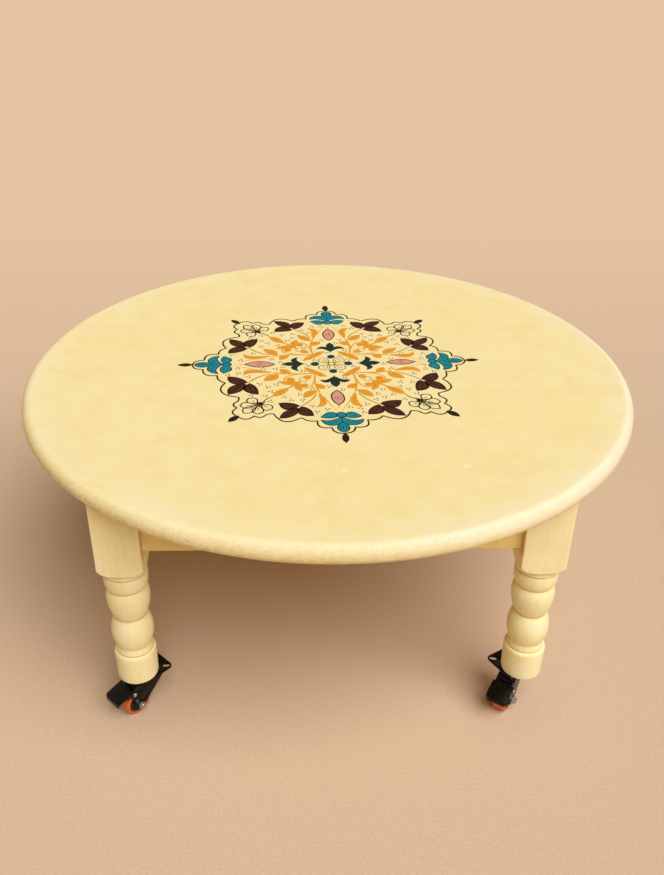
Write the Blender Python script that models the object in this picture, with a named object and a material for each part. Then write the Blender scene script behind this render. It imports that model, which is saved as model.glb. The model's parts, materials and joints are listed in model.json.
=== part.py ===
"""Low round table: a bullnosed top on four turned legs, tenoned aprons and braked swivel casters.

Metres, +Z up, the front towards -Y. The origin is on the floor under the middle of the top.
"""
import math

import bmesh
import bpy
from mathutils import Matrix, Vector

# Clearances
SEAT_GAP = 0.0003
RUNNING_GAP = 0.0003

# Round top
TOP_DIAMETER = 0.900
TOP_THICKNESS = 0.026
TOP_EDGE_ROUND = 0.014
TOP_EDGE_BAND = 0.0015

# Legs, turned from square stock; the depths of cut are taken from the stock's face
LEG_LENGTH = 0.325
LEG_STOCK = 0.061
LEG_CORNER_INSET = 0.0125
FOOT_HEIGHT = 0.0435
FOOT_EDGE = 0.0015
FOOT_TAPER = 0.0006
FOOT_CUT = 0.0011
FOOT_ROUND_HEIGHT = 0.0055
COLLAR_CUT = 0.0044
COLLAR_LINE_WIDTH = 0.0020
COLLAR_LINE_DEPTH = 0.0008
ANKLE_HEIGHT = 0.0095
ANKLE_CUT = 0.0062
LOWER_BULB_HEIGHT = 0.052
LOWER_BULB_BELLY = 0.0235
LOWER_BULB_CUT = 0.0012
WAIST_CUT = 0.0080
UPPER_BULB_HEIGHT = 0.0498
UPPER_BULB_BELLY = 0.0325
UPPER_BULB_CUT = 0.0007
CREASE_CUT = 0.0052
CUP_HEIGHT = 0.0245
CUP_ROUND_HEIGHT = 0.015
CUP_CUT = 0.0004
NECK_HEIGHT = 0.0022
NECK_CUT = 0.0022
RING_HEIGHT = 0.0080
RING_CUT = 0.0003
TONGUE_HEIGHT = 0.0200

# Aprons, tenoned into the legs
APRON_HEIGHT = 0.094
APRON_THICKNESS = 0.018
APRON_SETBACK = 0.012
APRON_ARRIS = 0.0015
TENON_LENGTH = 0.024
TENON_THICKNESS = 0.009
TENON_SHOULDER = 0.012
TENON_END_ROOM = 0.0007

# Corner braces and the screws that hold the top
BRACE_HEIGHT = 0.042
BRACE_THICKNESS = 0.022
SCREW_RADIUS = 0.0022
SCREW_HEAD_RADIUS = 0.0045
SCREW_HEAD_HEIGHT = 0.0030
SCREW_BITE = 0.014
SCREW_POINT = 0.005

# Caster plates, fixed under the feet
PLATE_SIDE = 0.056
PLATE_CORNER = 0.006
PLATE_THICKNESS = 0.0025
PLATE_INSET = 0.009
SLOT_REACH = 0.0295
SLOT_WIDTH = 0.0062
SLOT_LENGTH = 0.0105

# Swivels
RACE_RADIUS = 0.0190
RACE_HEIGHT = 0.0058
RACE_SHOULDER = 0.0025
KINGPIN_RADIUS = 0.004
KINGPIN_FLARE = 0.002
KINGPIN_HEAD_RADIUS = 0.007
KINGPIN_HEAD_HEIGHT = 0.0022

# Wheels
WHEEL_RADIUS = 0.021
WHEEL_WIDTH = 0.020
WHEEL_SIDES = 18
TREAD_THICKNESS = 0.0047
TREAD_ROUND = 0.0032
CORE_RIM_THICKNESS = 0.0025
CORE_RIM_WIDTH = 0.017
CORE_WEB = 0.008
CORE_BOSS_RADIUS = 0.0075
AXLE_RADIUS = 0.003

# Forks
TRAIL = 0.025
FORK_SHEET = 0.0025
FORK_SIDE_ROOM = 0.0012
FORK_BEND = 0.0035
CROWN_RADIUS = 0.0175
CROWN_ROOM = 0.01644
CROWN_SKIRT = 0.009
HOOD_ROOM = 0.0055
AXLE_BOSS_RADIUS = 0.009
HEX_RADIUS = 0.0058
BOLT_HEAD_HEIGHT = 0.004
NUT_HEIGHT = 0.005
BOLT_END = 0.0015

# Brake pedals, hung on a pin through the fork
PIVOT_BEHIND_AXLE = 0.009
PIVOT_ABOVE_TREAD = 0.0065
PIVOT_EAR_RADIUS = 0.0042
PIVOT_PIN_RADIUS = 0.002
PIN_HEAD_RADIUS = 0.0033
PIN_HEAD_HEIGHT = 0.0012
PEDAL_SHEET = 0.0020
PEDAL_SIDE_ROOM = 0.0005
PEDAL_EAR_ROOM = 0.0010
PEDAL_FRONT = 0.0015
PEDAL_LENGTH = 0.0275
PEDAL_SLOPE = 14.0
PEDAL_LIP = 0.0055
PEDAL_LIP_LEAN = 70.0
PEDAL_CORNER = 0.005
PEDAL_CHEEK_RADIUS = 0.0044
PEDAL_CHEEK_LENGTH = 0.017
SHOE_ANGLE = 48.0
SHOE_GAP = 0.0030
SHOE_LENGTH = 0.006

# Corners and sides, each a quarter turn on from the one before; a corner also holds the way its caster
# was left trailing and how far its plate was screwed on askew
CORNERS = (("front_left", 0.0, 226.0, 0.0), ("front_right", 90.0, 238.0, -14.0),
           ("rear_right", 180.0, 222.0, 5.0), ("rear_left", 270.0, 232.0, -4.0))
SIDES = (("front", 0.0), ("right", 90.0), ("rear", 180.0), ("left", 270.0))

# Facets round a circle
TOP_SEGMENTS = 60
LEG_SEGMENTS = 18
RING_SEGMENTS = 12
PIN_SEGMENTS = 10
SLOT_SEGMENTS = 8

# Heights above the floor, from the wheel up; the wheel stands on one of its flats
AXLE_HEIGHT = WHEEL_RADIUS * math.cos(math.pi / WHEEL_SIDES)
CROWN_BOTTOM = AXLE_HEIGHT + WHEEL_RADIUS + CROWN_ROOM
CROWN_TOP = CROWN_BOTTOM + FORK_SHEET
RACE_BOTTOM = CROWN_TOP + SEAT_GAP
RACE_TOP = RACE_BOTTOM + RACE_HEIGHT
PLATE_BOTTOM = RACE_TOP + SEAT_GAP
PLATE_TOP = PLATE_BOTTOM + PLATE_THICKNESS
FOOT_BOTTOM = PLATE_TOP + SEAT_GAP
LEG_TOP = FOOT_BOTTOM + LEG_LENGTH
TOP_BOTTOM = LEG_TOP + SEAT_GAP
APRON_BOTTOM = LEG_TOP - APRON_HEIGHT
BRACE_BOTTOM = LEG_TOP - BRACE_HEIGHT

# Places in plan; in a corner's own frame +X and +Y point inwards from the leg's axis
LEG_HALF = LEG_STOCK / 2.0
LEG_CENTRE = (TOP_DIAMETER / 2.0 - LEG_CORNER_INSET) / math.sqrt(2.0) - LEG_HALF
APRON_OUTER = APRON_SETBACK - LEG_HALF
APRON_INNER = APRON_OUTER + APRON_THICKNESS
APRON_MIDDLE = (APRON_OUTER + APRON_INNER) / 2.0
BRACE_NEAR = 2.0 * LEG_HALF + SEAT_GAP * math.sqrt(2.0)
BRACE_FAR = BRACE_NEAR + BRACE_THICKNESS * math.sqrt(2.0)
SCREW_PLACE = (BRACE_NEAR + BRACE_FAR) / 4.0

# Widths across the fork and the pedal's pivot, in the caster's own frame with +X trailing
FORK_INNER = WHEEL_WIDTH / 2.0 + FORK_SIDE_ROOM
FORK_OUTER = FORK_INNER + FORK_SHEET
PEDAL_INNER = FORK_OUTER + PEDAL_SIDE_ROOM
PEDAL_OUTER = PEDAL_INNER + PEDAL_SHEET
PIVOT_X = TRAIL + PIVOT_BEHIND_AXLE
PIVOT_RISE = math.sqrt((WHEEL_RADIUS + PIVOT_ABOVE_TREAD) ** 2 - PIVOT_BEHIND_AXLE ** 2)
PIVOT_Z = AXLE_HEIGHT + PIVOT_RISE

for leftover in list(bpy.data.objects):
    bpy.data.objects.remove(leftover, do_unlink=True)


def turned(profile, segments, ring=False):
    """Spin (radius, height) points about Z into a closed body; a ring's profile closes on itself."""
    body = bmesh.new()
    points = [body.verts.new((radius, 0.0, height)) for radius, height in profile]
    edges = [body.edges.new(pair) for pair in zip(points, points[1:])]
    if ring:
        edges.append(body.edges.new((points[-1], points[0])))
    bmesh.ops.spin(body, geom=points + edges, cent=(0, 0, 0), axis=(0, 0, 1),
                   angle=2.0 * math.pi, steps=segments, use_merge=True)
    bmesh.ops.remove_doubles(body, verts=body.verts[:], dist=1e-6)
    bmesh.ops.recalc_face_normals(body, faces=body.faces[:])
    return body


def slab(discs, low, high, across="Z", segments=PIN_SEGMENTS):
    """Body stretched tight round discs (a, b, radius), from low to high across their plane.

    The plane is XY for a slab across Z and XZ for one across Y. A disc of no radius is a corner.
    """
    body = bmesh.new()
    for a, b, radius in discs:
        for step in range(segments if radius else 1):
            angle = 2.0 * math.pi * (step + 0.5) / segments
            u = a + radius * math.cos(angle)
            v = b + radius * math.sin(angle)
            for level in (low, high):
                body.verts.new((u, v, level) if across == "Z" else (u, level, v))
    hull = bmesh.ops.convex_hull(body, input=body.verts[:])
    bmesh.ops.delete(body, geom=list(set(hull["geom_interior"])), context="VERTS")
    bmesh.ops.dissolve_limit(body, angle_limit=math.radians(0.5),
                             verts=body.verts[:], edges=body.edges[:])
    bmesh.ops.recalc_face_normals(body, faces=body.faces[:])
    return body


def box(x_range, y_range, z_range):
    """Body between the two ends of each range."""
    corners = [(x, y, 0.0) for x in x_range for y in y_range]
    return slab(corners, *z_range)


def moved(body, turn=None, offset=(0.0, 0.0, 0.0)):
    """Body turned by an (angle, axis) pair in degrees, then shifted."""
    if turn:
        bmesh.ops.rotate(body, verts=body.verts[:], matrix=Matrix.Rotation(math.radians(turn[0]), 3, turn[1]))
    bmesh.ops.translate(body, verts=body.verts[:], vec=offset)
    return body


def shaped(body, *steps):
    """Finished mesh of a body after steps of (operation, other body)."""
    helpers = []
    for shape in (body, *(other for _, other in steps)):
        mesh = bpy.data.meshes.new("shape")
        shape.to_mesh(mesh)
        shape.free()
        helpers.append(bpy.data.objects.new("shape", mesh))
        bpy.context.scene.collection.objects.link(helpers[-1])
    for (operation, _), other in zip(steps, helpers[1:]):
        change = helpers[0].modifiers.new(operation, "BOOLEAN")
        change.operation = operation
        change.object = other
    view = bpy.context.evaluated_depsgraph_get()
    finished = bpy.data.meshes.new_from_object(helpers[0].evaluated_get(view))
    for helper in helpers:
        bpy.data.objects.remove(helper, do_unlink=True)
    return finished


def finish(name, colour, roughness, metallic=0.0):
    """Material with one colour all over."""
    material = bpy.data.materials.new(name)
    material.use_nodes = True
    shader = material.node_tree.nodes["Principled BSDF"]
    shader.inputs["Base Color"].default_value = (*colour, 1.0)
    shader.inputs["Roughness"].default_value = roughness
    shader.inputs["Metallic"].default_value = metallic
    return material


def place(name, mesh, material, parent=None, location=(0.0, 0.0, 0.0), turn=0.0):
    """Object of a mesh, set by its location and its turn about Z in degrees."""
    if not mesh.materials:
        mesh.materials.append(material)
        mesh.shade_smooth()
        mesh.set_sharp_from_angle(angle=math.radians(32.0))
    piece = bpy.data.objects.new(name, mesh)
    piece.parent = parent
    piece.location = location
    piece.rotation_euler.z = math.radians(turn)
    bpy.context.scene.collection.objects.link(piece)
    return piece


def pivot(name, parent, location, turn=0.0):
    """Empty that carries the pieces of one corner or one moving body."""
    empty = bpy.data.objects.new(name, None)
    empty.parent = parent
    empty.location = location
    empty.rotation_euler.z = math.radians(turn)
    bpy.context.scene.collection.objects.link(empty)
    return empty


def arc(centre, radii, start, end, steps):
    """Points on a quarter or half ellipse round a centre, angles in degrees."""
    angles = [math.radians(start + (end - start) * step / steps) for step in range(steps + 1)]
    return [(centre[0] + radii[0] * math.cos(a), centre[1] + radii[1] * math.sin(a)) for a in angles]


def bulb(bottom, belly, top, steps):
    """Points of a turned bulb between (radius, height) ends, fullest at its belly."""
    points = []
    for end, order in ((bottom, -1), (top, 1)):
        shares = [step / steps for step in range(steps + 1)][::order]
        points += [(belly[0] + (end[0] - belly[0]) * share ** 2,
                    belly[1] + (end[1] - belly[1]) * share) for share in shares]
    del points[steps]
    return points


def top_mesh():
    """Round top with a bullnose edge and four blind holes for the screws under it."""
    rim = TOP_DIAMETER / 2.0
    lower_round = TOP_THICKNESS - TOP_EDGE_ROUND - TOP_EDGE_BAND
    upper_centre = (rim - TOP_EDGE_ROUND, TOP_THICKNESS - TOP_EDGE_ROUND)
    lower_centre = (rim - lower_round, lower_round)
    profile = [(0.0, 0.0)]
    profile += arc(lower_centre, (lower_round, lower_round), -90.0, 0.0, 3)
    profile += arc(upper_centre, (TOP_EDGE_ROUND, TOP_EDGE_ROUND), 0.0, 90.0, 4)
    profile += [(0.0, TOP_THICKNESS)]
    reach = LEG_CENTRE - SCREW_PLACE
    holes = []
    for x in (-reach, reach):
        for y in (-reach, reach):
            hole = turned([(0.0, -SCREW_BITE), (SCREW_RADIUS + SEAT_GAP, -SCREW_BITE),
                           (SCREW_RADIUS + SEAT_GAP, SCREW_BITE + SEAT_GAP),
                           (0.0, SCREW_BITE + SEAT_GAP)], PIN_SEGMENTS)
            holes.append(("DIFFERENCE", moved(hole, offset=(x, y, 0.0))))
    return shaped(turned(profile, TOP_SEGMENTS), *holes)


def leg_mesh():
    """Leg turned from square stock, its foot at the origin, with two mortises near the top."""
    foot = LEG_HALF - FOOT_CUT
    sole = foot - FOOT_TAPER
    collar = LEG_HALF - COLLAR_CUT
    ankle = LEG_HALF - ANKLE_CUT
    waist = LEG_HALF - WAIST_CUT
    crease = LEG_HALF - CREASE_CUT
    cup = LEG_HALF - CUP_CUT
    neck = LEG_HALF - NECK_CUT
    profile = [(0.0, 0.0), (sole - FOOT_EDGE, 0.0), (sole, FOOT_EDGE)]
    profile += arc((collar, FOOT_HEIGHT), (foot - collar, FOOT_ROUND_HEIGHT), 0.0, 90.0, 2)
    level = FOOT_HEIGHT + FOOT_ROUND_HEIGHT
    profile += [(collar - COLLAR_LINE_DEPTH, level + COLLAR_LINE_WIDTH / 2.0), (collar, level + COLLAR_LINE_WIDTH)]
    level += COLLAR_LINE_WIDTH + ANKLE_HEIGHT
    low, belly = (ankle, level), (LEG_HALF - LOWER_BULB_CUT, level + LOWER_BULB_BELLY)
    level += LOWER_BULB_HEIGHT
    profile += bulb(low, belly, (waist, level), 3)
    low, belly = (waist, level), (LEG_HALF - UPPER_BULB_CUT, level + UPPER_BULB_BELLY)
    level += UPPER_BULB_HEIGHT
    profile += bulb(low, belly, (crease, level), 3)[1:]
    profile += arc((crease, level + CUP_ROUND_HEIGHT), (cup - crease, CUP_ROUND_HEIGHT), -90.0, 0.0, 2)[1:]
    level += CUP_HEIGHT
    profile += [(cup, level), (neck, level), (neck, level + NECK_HEIGHT)]
    level += NECK_HEIGHT
    ring = LEG_HALF - RING_CUT
    profile += [(ring, level), (ring, level + RING_HEIGHT)]
    level += RING_HEIGHT
    clear_of_corner = LEG_HALF * math.sqrt(2.0) + FOOT_EDGE
    profile += arc((LEG_HALF, level + TONGUE_HEIGHT), (clear_of_corner - LEG_HALF, TONGUE_HEIGHT), -90.0, 0.0, 3)
    profile += [(clear_of_corner, 2.0 * LEG_LENGTH), (0.0, 2.0 * LEG_LENGTH)]

    stock = box((-LEG_HALF, LEG_HALF), (-LEG_HALF, LEG_HALF), (-FOOT_HEIGHT, LEG_LENGTH))
    depth = (LEG_HALF - TENON_LENGTH - TENON_END_ROOM, LEG_STOCK)
    width = (APRON_MIDDLE - TENON_THICKNESS / 2.0 - SEAT_GAP, APRON_MIDDLE + TENON_THICKNESS / 2.0 + SEAT_GAP)
    low = LEG_LENGTH - APRON_HEIGHT + TENON_SHOULDER
    height = (low - SEAT_GAP, LEG_LENGTH - TENON_SHOULDER + SEAT_GAP)
    return shaped(turned(profile, LEG_SEGMENTS), ("INTERSECT", stock),
                  ("DIFFERENCE", box(depth, width, height)), ("DIFFERENCE", box(width, depth, height)))


def apron_mesh():
    """Rail between two legs, along X, with a tenon on each end and softened lower edges."""
    half = LEG_CENTRE - LEG_HALF - SEAT_GAP
    thick = APRON_THICKNESS / 2.0
    arris = APRON_ARRIS
    section = [(-thick + arris, arris, arris), (thick - arris, arris, arris),
               (-thick, APRON_HEIGHT, 0.0), (thick, APRON_HEIGHT, 0.0)]
    rail = moved(slab(section, -half, half, "Y", 16), (90.0, "Z"))
    end = half + TENON_LENGTH
    tenon = box((-end, end), (-TENON_THICKNESS / 2.0, TENON_THICKNESS / 2.0),
                (TENON_SHOULDER, APRON_HEIGHT - TENON_SHOULDER))
    return shaped(rail, ("UNION", tenon))


def brace_mesh():
    """Block across the corner behind a leg, mitred to both aprons and bored for its screw."""
    wall = APRON_INNER + SEAT_GAP
    plan = [(BRACE_NEAR - wall, wall, 0.0), (BRACE_FAR - wall, wall, 0.0),
            (wall, BRACE_FAR - wall, 0.0), (wall, BRACE_NEAR - wall, 0.0)]
    bore = slab([(SCREW_PLACE, SCREW_PLACE, SCREW_RADIUS + SEAT_GAP)], -BRACE_HEIGHT, 2.0 * BRACE_HEIGHT)
    return shaped(slab(plan, 0.0, BRACE_HEIGHT), ("DIFFERENCE", bore))


def screw_mesh():
    """Round-headed screw pointing up, its head's upper face at the origin."""
    tip = BRACE_HEIGHT + SEAT_GAP + SCREW_BITE - SEAT_GAP
    profile = [(0.0, -SCREW_HEAD_HEIGHT)]
    profile += arc((0.0, 0.0), (SCREW_HEAD_RADIUS, -SCREW_HEAD_HEIGHT), 60.0, 0.0, 2)
    profile += [(SCREW_RADIUS, 0.0), (SCREW_RADIUS, tip - SCREW_POINT), (0.0, tip)]
    return shaped(turned(profile, PIN_SEGMENTS))


def plate_mesh():
    """Square plate set cornerwise, slotted at its corners and countersunk for the kingpin."""
    corner = PLATE_SIDE / math.sqrt(2.0) - PLATE_CORNER * math.sqrt(2.0)
    ways = ((1.0, 0.0), (0.0, 1.0), (-1.0, 0.0), (0.0, -1.0))
    plate = slab([(corner * x, corner * y, PLATE_CORNER) for x, y in ways], 0.0, PLATE_THICKNESS,
                 segments=RING_SEGMENTS)
    cuts = []
    for x, y in ways:
        ends = [SLOT_REACH + side * (SLOT_LENGTH - SLOT_WIDTH) / 2.0 for side in (-1.0, 1.0)]
        slot = slab([(end * x, end * y, SLOT_WIDTH / 2.0) for end in ends], -PLATE_THICKNESS,
                    2.0 * PLATE_THICKNESS, segments=SLOT_SEGMENTS)
        cuts.append(("DIFFERENCE", slot))
    hole = KINGPIN_RADIUS + RUNNING_GAP
    sink = turned([(0.0, -PLATE_THICKNESS), (hole, -PLATE_THICKNESS), (hole, 0.0),
                   (hole + KINGPIN_FLARE, PLATE_THICKNESS), (hole + KINGPIN_FLARE, 2.0 * PLATE_THICKNESS),
                   (0.0, 2.0 * PLATE_THICKNESS)], RING_SEGMENTS)
    return shaped(plate, *cuts, ("DIFFERENCE", sink))


def kingpin_mesh():
    """Rivet flared into the plate at the top, with a round head under the fork's crown."""
    head_top = CROWN_BOTTOM - SEAT_GAP
    head_bottom = head_top - KINGPIN_HEAD_HEIGHT
    profile = [(0.0, head_bottom)]
    profile += arc((0.0, head_top), (KINGPIN_HEAD_RADIUS, -KINGPIN_HEAD_HEIGHT), 60.0, 0.0, 2)
    profile += [(KINGPIN_RADIUS, head_top), (KINGPIN_RADIUS, PLATE_BOTTOM),
                (KINGPIN_RADIUS + KINGPIN_FLARE, PLATE_TOP), (0.0, PLATE_TOP)]
    return shaped(turned(profile, PIN_SEGMENTS))


def race_mesh():
    """Ball race between the plate and the crown, a ring with a sloping shoulder."""
    bore = KINGPIN_RADIUS + RUNNING_GAP
    profile = [(bore, 0.0), (RACE_RADIUS - RACE_SHOULDER, 0.0), (RACE_RADIUS, RACE_SHOULDER),
               (RACE_RADIUS, RACE_HEIGHT), (bore, RACE_HEIGHT)]
    return shaped(turned(profile, RING_SEGMENTS, ring=True))


def fork_mesh():
    """Folded yoke: a crown that slopes down behind as a hood, and two raked cheeks with ears."""
    outline = [(-CROWN_RADIUS, CROWN_BOTTOM - CROWN_SKIRT, 0.0), (-CROWN_RADIUS, CROWN_TOP, 0.0),
               (CROWN_RADIUS, CROWN_TOP, 0.0), (TRAIL, AXLE_HEIGHT, AXLE_BOSS_RADIUS),
               (PIVOT_X, PIVOT_Z, PIVOT_EAR_RADIUS)]
    yoke = slab(outline, -FORK_OUTER, FORK_OUTER, "Y", RING_SEGMENTS)
    folds = [edge for edge in yoke.edges
             if any(v.co.x > 0.0 and abs(v.co.z - CROWN_TOP) < 1e-6 for v in edge.verts)
             and abs(edge.verts[0].co.y - edge.verts[1].co.y) < 1e-6]
    bmesh.ops.bevel(yoke, geom=folds, offset=FORK_BEND, segments=2, profile=0.5, affect="EDGES")
    crown_end = Vector((CROWN_RADIUS, CROWN_TOP))
    to_ear = Vector((PIVOT_X, PIVOT_Z)) - crown_end
    fall = math.atan2(-to_ear.y, to_ear.x) - math.asin(PIVOT_EAR_RADIUS / to_ear.length)
    down = Vector((math.cos(fall), -math.sin(fall)))
    under = crown_end - FORK_SHEET * Vector((math.sin(fall), math.cos(fall)))
    knee = under + down * ((CROWN_BOTTOM - under.y) / down.y)
    far = knee + 2.0 * down * CROWN_TOP
    inside = slab([(-CROWN_TOP, -CROWN_TOP, 0.0), (-CROWN_TOP, CROWN_BOTTOM, 0.0), (*knee, 0.0), (*far, 0.0),
                   (far.x, -CROWN_TOP, 0.0)], -FORK_INNER, FORK_INNER, "Y")
    hood_end = PIVOT_X - HOOD_ROOM
    behind = box((hood_end, 2.0 * far.x), (-FORK_INNER, FORK_INNER), (-CROWN_TOP, 2.0 * CROWN_TOP))
    wide = 2.0 * FORK_OUTER
    king_hole = slab([(0.0, 0.0, KINGPIN_RADIUS + RUNNING_GAP)], CROWN_BOTTOM - CROWN_SKIRT,
                     2.0 * CROWN_TOP, segments=RING_SEGMENTS)
    axle_hole = slab([(TRAIL, AXLE_HEIGHT, AXLE_RADIUS + RUNNING_GAP)], -wide, wide, "Y", RING_SEGMENTS)
    pin_hole = slab([(PIVOT_X, PIVOT_Z, PIVOT_PIN_RADIUS + RUNNING_GAP)], -wide, wide, "Y")
    return shaped(yoke, ("DIFFERENCE", inside), ("DIFFERENCE", behind), ("DIFFERENCE", king_hole),
                  ("DIFFERENCE", axle_hole), ("DIFFERENCE", pin_hole))


def pedal_mesh():
    """Brake pedal round its pivot: a sloping tread with a turned-down lip, two cheeks and a shoe."""
    half_sheet = PEDAL_SHEET / 2.0
    slope = math.radians(PEDAL_SLOPE)
    along = Vector((math.cos(slope), -math.sin(slope)))
    above = Vector((math.sin(slope), math.cos(slope))) * (PIVOT_EAR_RADIUS + PEDAL_EAR_ROOM + half_sheet)
    front = above - along * PEDAL_FRONT
    tip = above + along * PEDAL_LENGTH
    lean = math.radians(PEDAL_SLOPE + PEDAL_LIP_LEAN)
    lip = tip + Vector((math.cos(lean), -math.sin(lean))) * PEDAL_LIP
    tread = slab([(*front, half_sheet), (*tip, half_sheet)], -PEDAL_OUTER, PEDAL_OUTER, "Y", 8)
    turned_lip = slab([(*tip, half_sheet), (*lip, half_sheet)], -PEDAL_OUTER, PEDAL_OUTER, "Y", 8)

    cheek_end = above + along * PEDAL_CHEEK_LENGTH
    cheek = [(0.0, 0.0, PEDAL_CHEEK_RADIUS), (*front, 0.0), (*cheek_end, 0.0)]
    cheeks = [slab(cheek, *sorted((side * PEDAL_INNER, side * PEDAL_OUTER)), "Y", RING_SEGMENTS)
              for side in (-1.0, 1.0)]

    facing = math.radians(SHOE_ANGLE)
    out = Vector((math.cos(facing), math.sin(facing)))
    side_on = Vector((out.y, -out.x)) * SHOE_LENGTH / 2.0
    pad = Vector((-PIVOT_BEHIND_AXLE, -PIVOT_RISE)) + out * (WHEEL_RADIUS + SHOE_GAP)
    root = above + along * (pad - above).dot(along)
    shoe = slab([(*(pad - side_on), 0.0), (*(pad + side_on), 0.0),
                 (*(root - along * half_sheet), 0.0), (*(root + along * half_sheet), 0.0)],
                -WHEEL_WIDTH / 2.0, WHEEL_WIDTH / 2.0, "Y")

    reach = tip.x + half_sheet
    plan = slab([(reach - PEDAL_CORNER, side * (PEDAL_OUTER - PEDAL_CORNER), PEDAL_CORNER) for side in (-1.0, 1.0)]
                + [(-reach, -PEDAL_OUTER, 0.0), (-reach, PEDAL_OUTER, 0.0)], -reach, reach)
    pin_hole = slab([(0.0, 0.0, PIVOT_PIN_RADIUS + RUNNING_GAP)], -2.0 * PEDAL_OUTER, 2.0 * PEDAL_OUTER, "Y")
    return shaped(tread, ("UNION", turned_lip), ("UNION", cheeks[0]), ("UNION", cheeks[1]),
                  ("UNION", shoe), ("INTERSECT", plan), ("DIFFERENCE", pin_hole))


def pin_mesh():
    """Headed pin of the brake pedal, lying along Y."""
    half = PEDAL_OUTER + SEAT_GAP
    profile = [(0.0, -half - PIN_HEAD_HEIGHT), (PIN_HEAD_RADIUS, -half - PIN_HEAD_HEIGHT),
               (PIN_HEAD_RADIUS, -half), (PIVOT_PIN_RADIUS, -half), (PIVOT_PIN_RADIUS, half),
               (PIN_HEAD_RADIUS, half), (PIN_HEAD_RADIUS, half + PIN_HEAD_HEIGHT), (0.0, half + PIN_HEAD_HEIGHT)]
    return shaped(moved(turned(profile, PIN_SEGMENTS), (90.0, "X")))


def bolt_mesh():
    """Axle bolt along Y, its hexagon head outside one cheek."""
    head = FORK_OUTER + SEAT_GAP
    end = FORK_OUTER + 2.0 * SEAT_GAP + NUT_HEIGHT + BOLT_END
    hexagon = slab([(0.0, 0.0, HEX_RADIUS)], -head - BOLT_HEAD_HEIGHT, -head, "Y", 6)
    shank = slab([(0.0, 0.0, AXLE_RADIUS)], -head - BOLT_HEAD_HEIGHT / 2.0, end, "Y", RING_SEGMENTS)
    return shaped(hexagon, ("UNION", shank))


def nut_mesh():
    """Hexagon nut on the axle bolt, outside the other cheek."""
    low = FORK_OUTER + SEAT_GAP
    hexagon = slab([(0.0, 0.0, HEX_RADIUS)], low, low + NUT_HEIGHT, "Y", 6)
    bore = slab([(0.0, 0.0, AXLE_RADIUS + RUNNING_GAP)], 0.0, 2.0 * low, "Y", RING_SEGMENTS)
    return shaped(hexagon, ("DIFFERENCE", bore))


def core_mesh():
    """Wheel core round the axle: a boss, a thin web and a rim, lying along Y."""
    rim = WHEEL_RADIUS - TREAD_THICKNESS - SEAT_GAP
    inside = rim - CORE_RIM_THICKNESS
    bore = AXLE_RADIUS + RUNNING_GAP
    boss = FORK_INNER - RUNNING_GAP
    half = [(bore, boss), (CORE_BOSS_RADIUS, boss), (CORE_BOSS_RADIUS, CORE_WEB / 2.0),
            (inside, CORE_WEB / 2.0), (inside, CORE_RIM_WIDTH / 2.0), (rim, CORE_RIM_WIDTH / 2.0)]
    profile = half + [(radius, -height) for radius, height in reversed(half)]
    wheel = moved(turned(profile, WHEEL_SIDES, ring=True), (180.0 / WHEEL_SIDES - 90.0, "Z"))
    return shaped(moved(wheel, (90.0, "X")))


def tread_mesh():
    """Soft tyre with rounded shoulders, lying along Y with a flat downwards."""
    half = WHEEL_WIDTH / 2.0
    shoulder = (WHEEL_RADIUS - TREAD_ROUND, half - TREAD_ROUND)
    upper = arc(shoulder, (TREAD_ROUND, TREAD_ROUND), 90.0, 0.0, 2)
    seat = WHEEL_RADIUS - TREAD_THICKNESS
    profile = [(seat, half)] + upper + [(radius, -height) for radius, height in reversed(upper)] + [(seat, -half)]
    tyre = moved(turned(profile, WHEEL_SIDES, ring=True), (180.0 / WHEEL_SIDES - 90.0, "Z"))
    return shaped(moved(tyre, (90.0, "X")))


cream_paint = finish("cream_paint", (0.91, 0.73, 0.36), 0.55)
bare_pine = finish("bare_pine", (0.62, 0.42, 0.22), 0.65)
black_steel = finish("black_steel", (0.012, 0.012, 0.013), 0.28)
zinc_steel = finish("zinc_steel", (0.72, 0.73, 0.74), 0.32, 1.0)
orange_tyre = finish("orange_tyre", (0.78, 0.13, 0.02), 0.38)
dark_nylon = finish("dark_nylon", (0.025, 0.022, 0.020), 0.45)

leg, apron, brace, screw = leg_mesh(), apron_mesh(), brace_mesh(), screw_mesh()
plate, kingpin, race, fork = plate_mesh(), kingpin_mesh(), race_mesh(), fork_mesh()
pedal, pin, bolt, nut = pedal_mesh(), pin_mesh(), bolt_mesh(), nut_mesh()
core, tread = core_mesh(), tread_mesh()

place("tabletop", top_mesh(), cream_paint, location=(0.0, 0.0, TOP_BOTTOM))

for side, turn in SIDES:
    outward = Matrix.Rotation(math.radians(turn), 3, "Z") @ Vector((0.0, APRON_MIDDLE - LEG_CENTRE, APRON_BOTTOM))
    place(f"apron_{side}", apron, cream_paint, location=outward, turn=turn)

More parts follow.
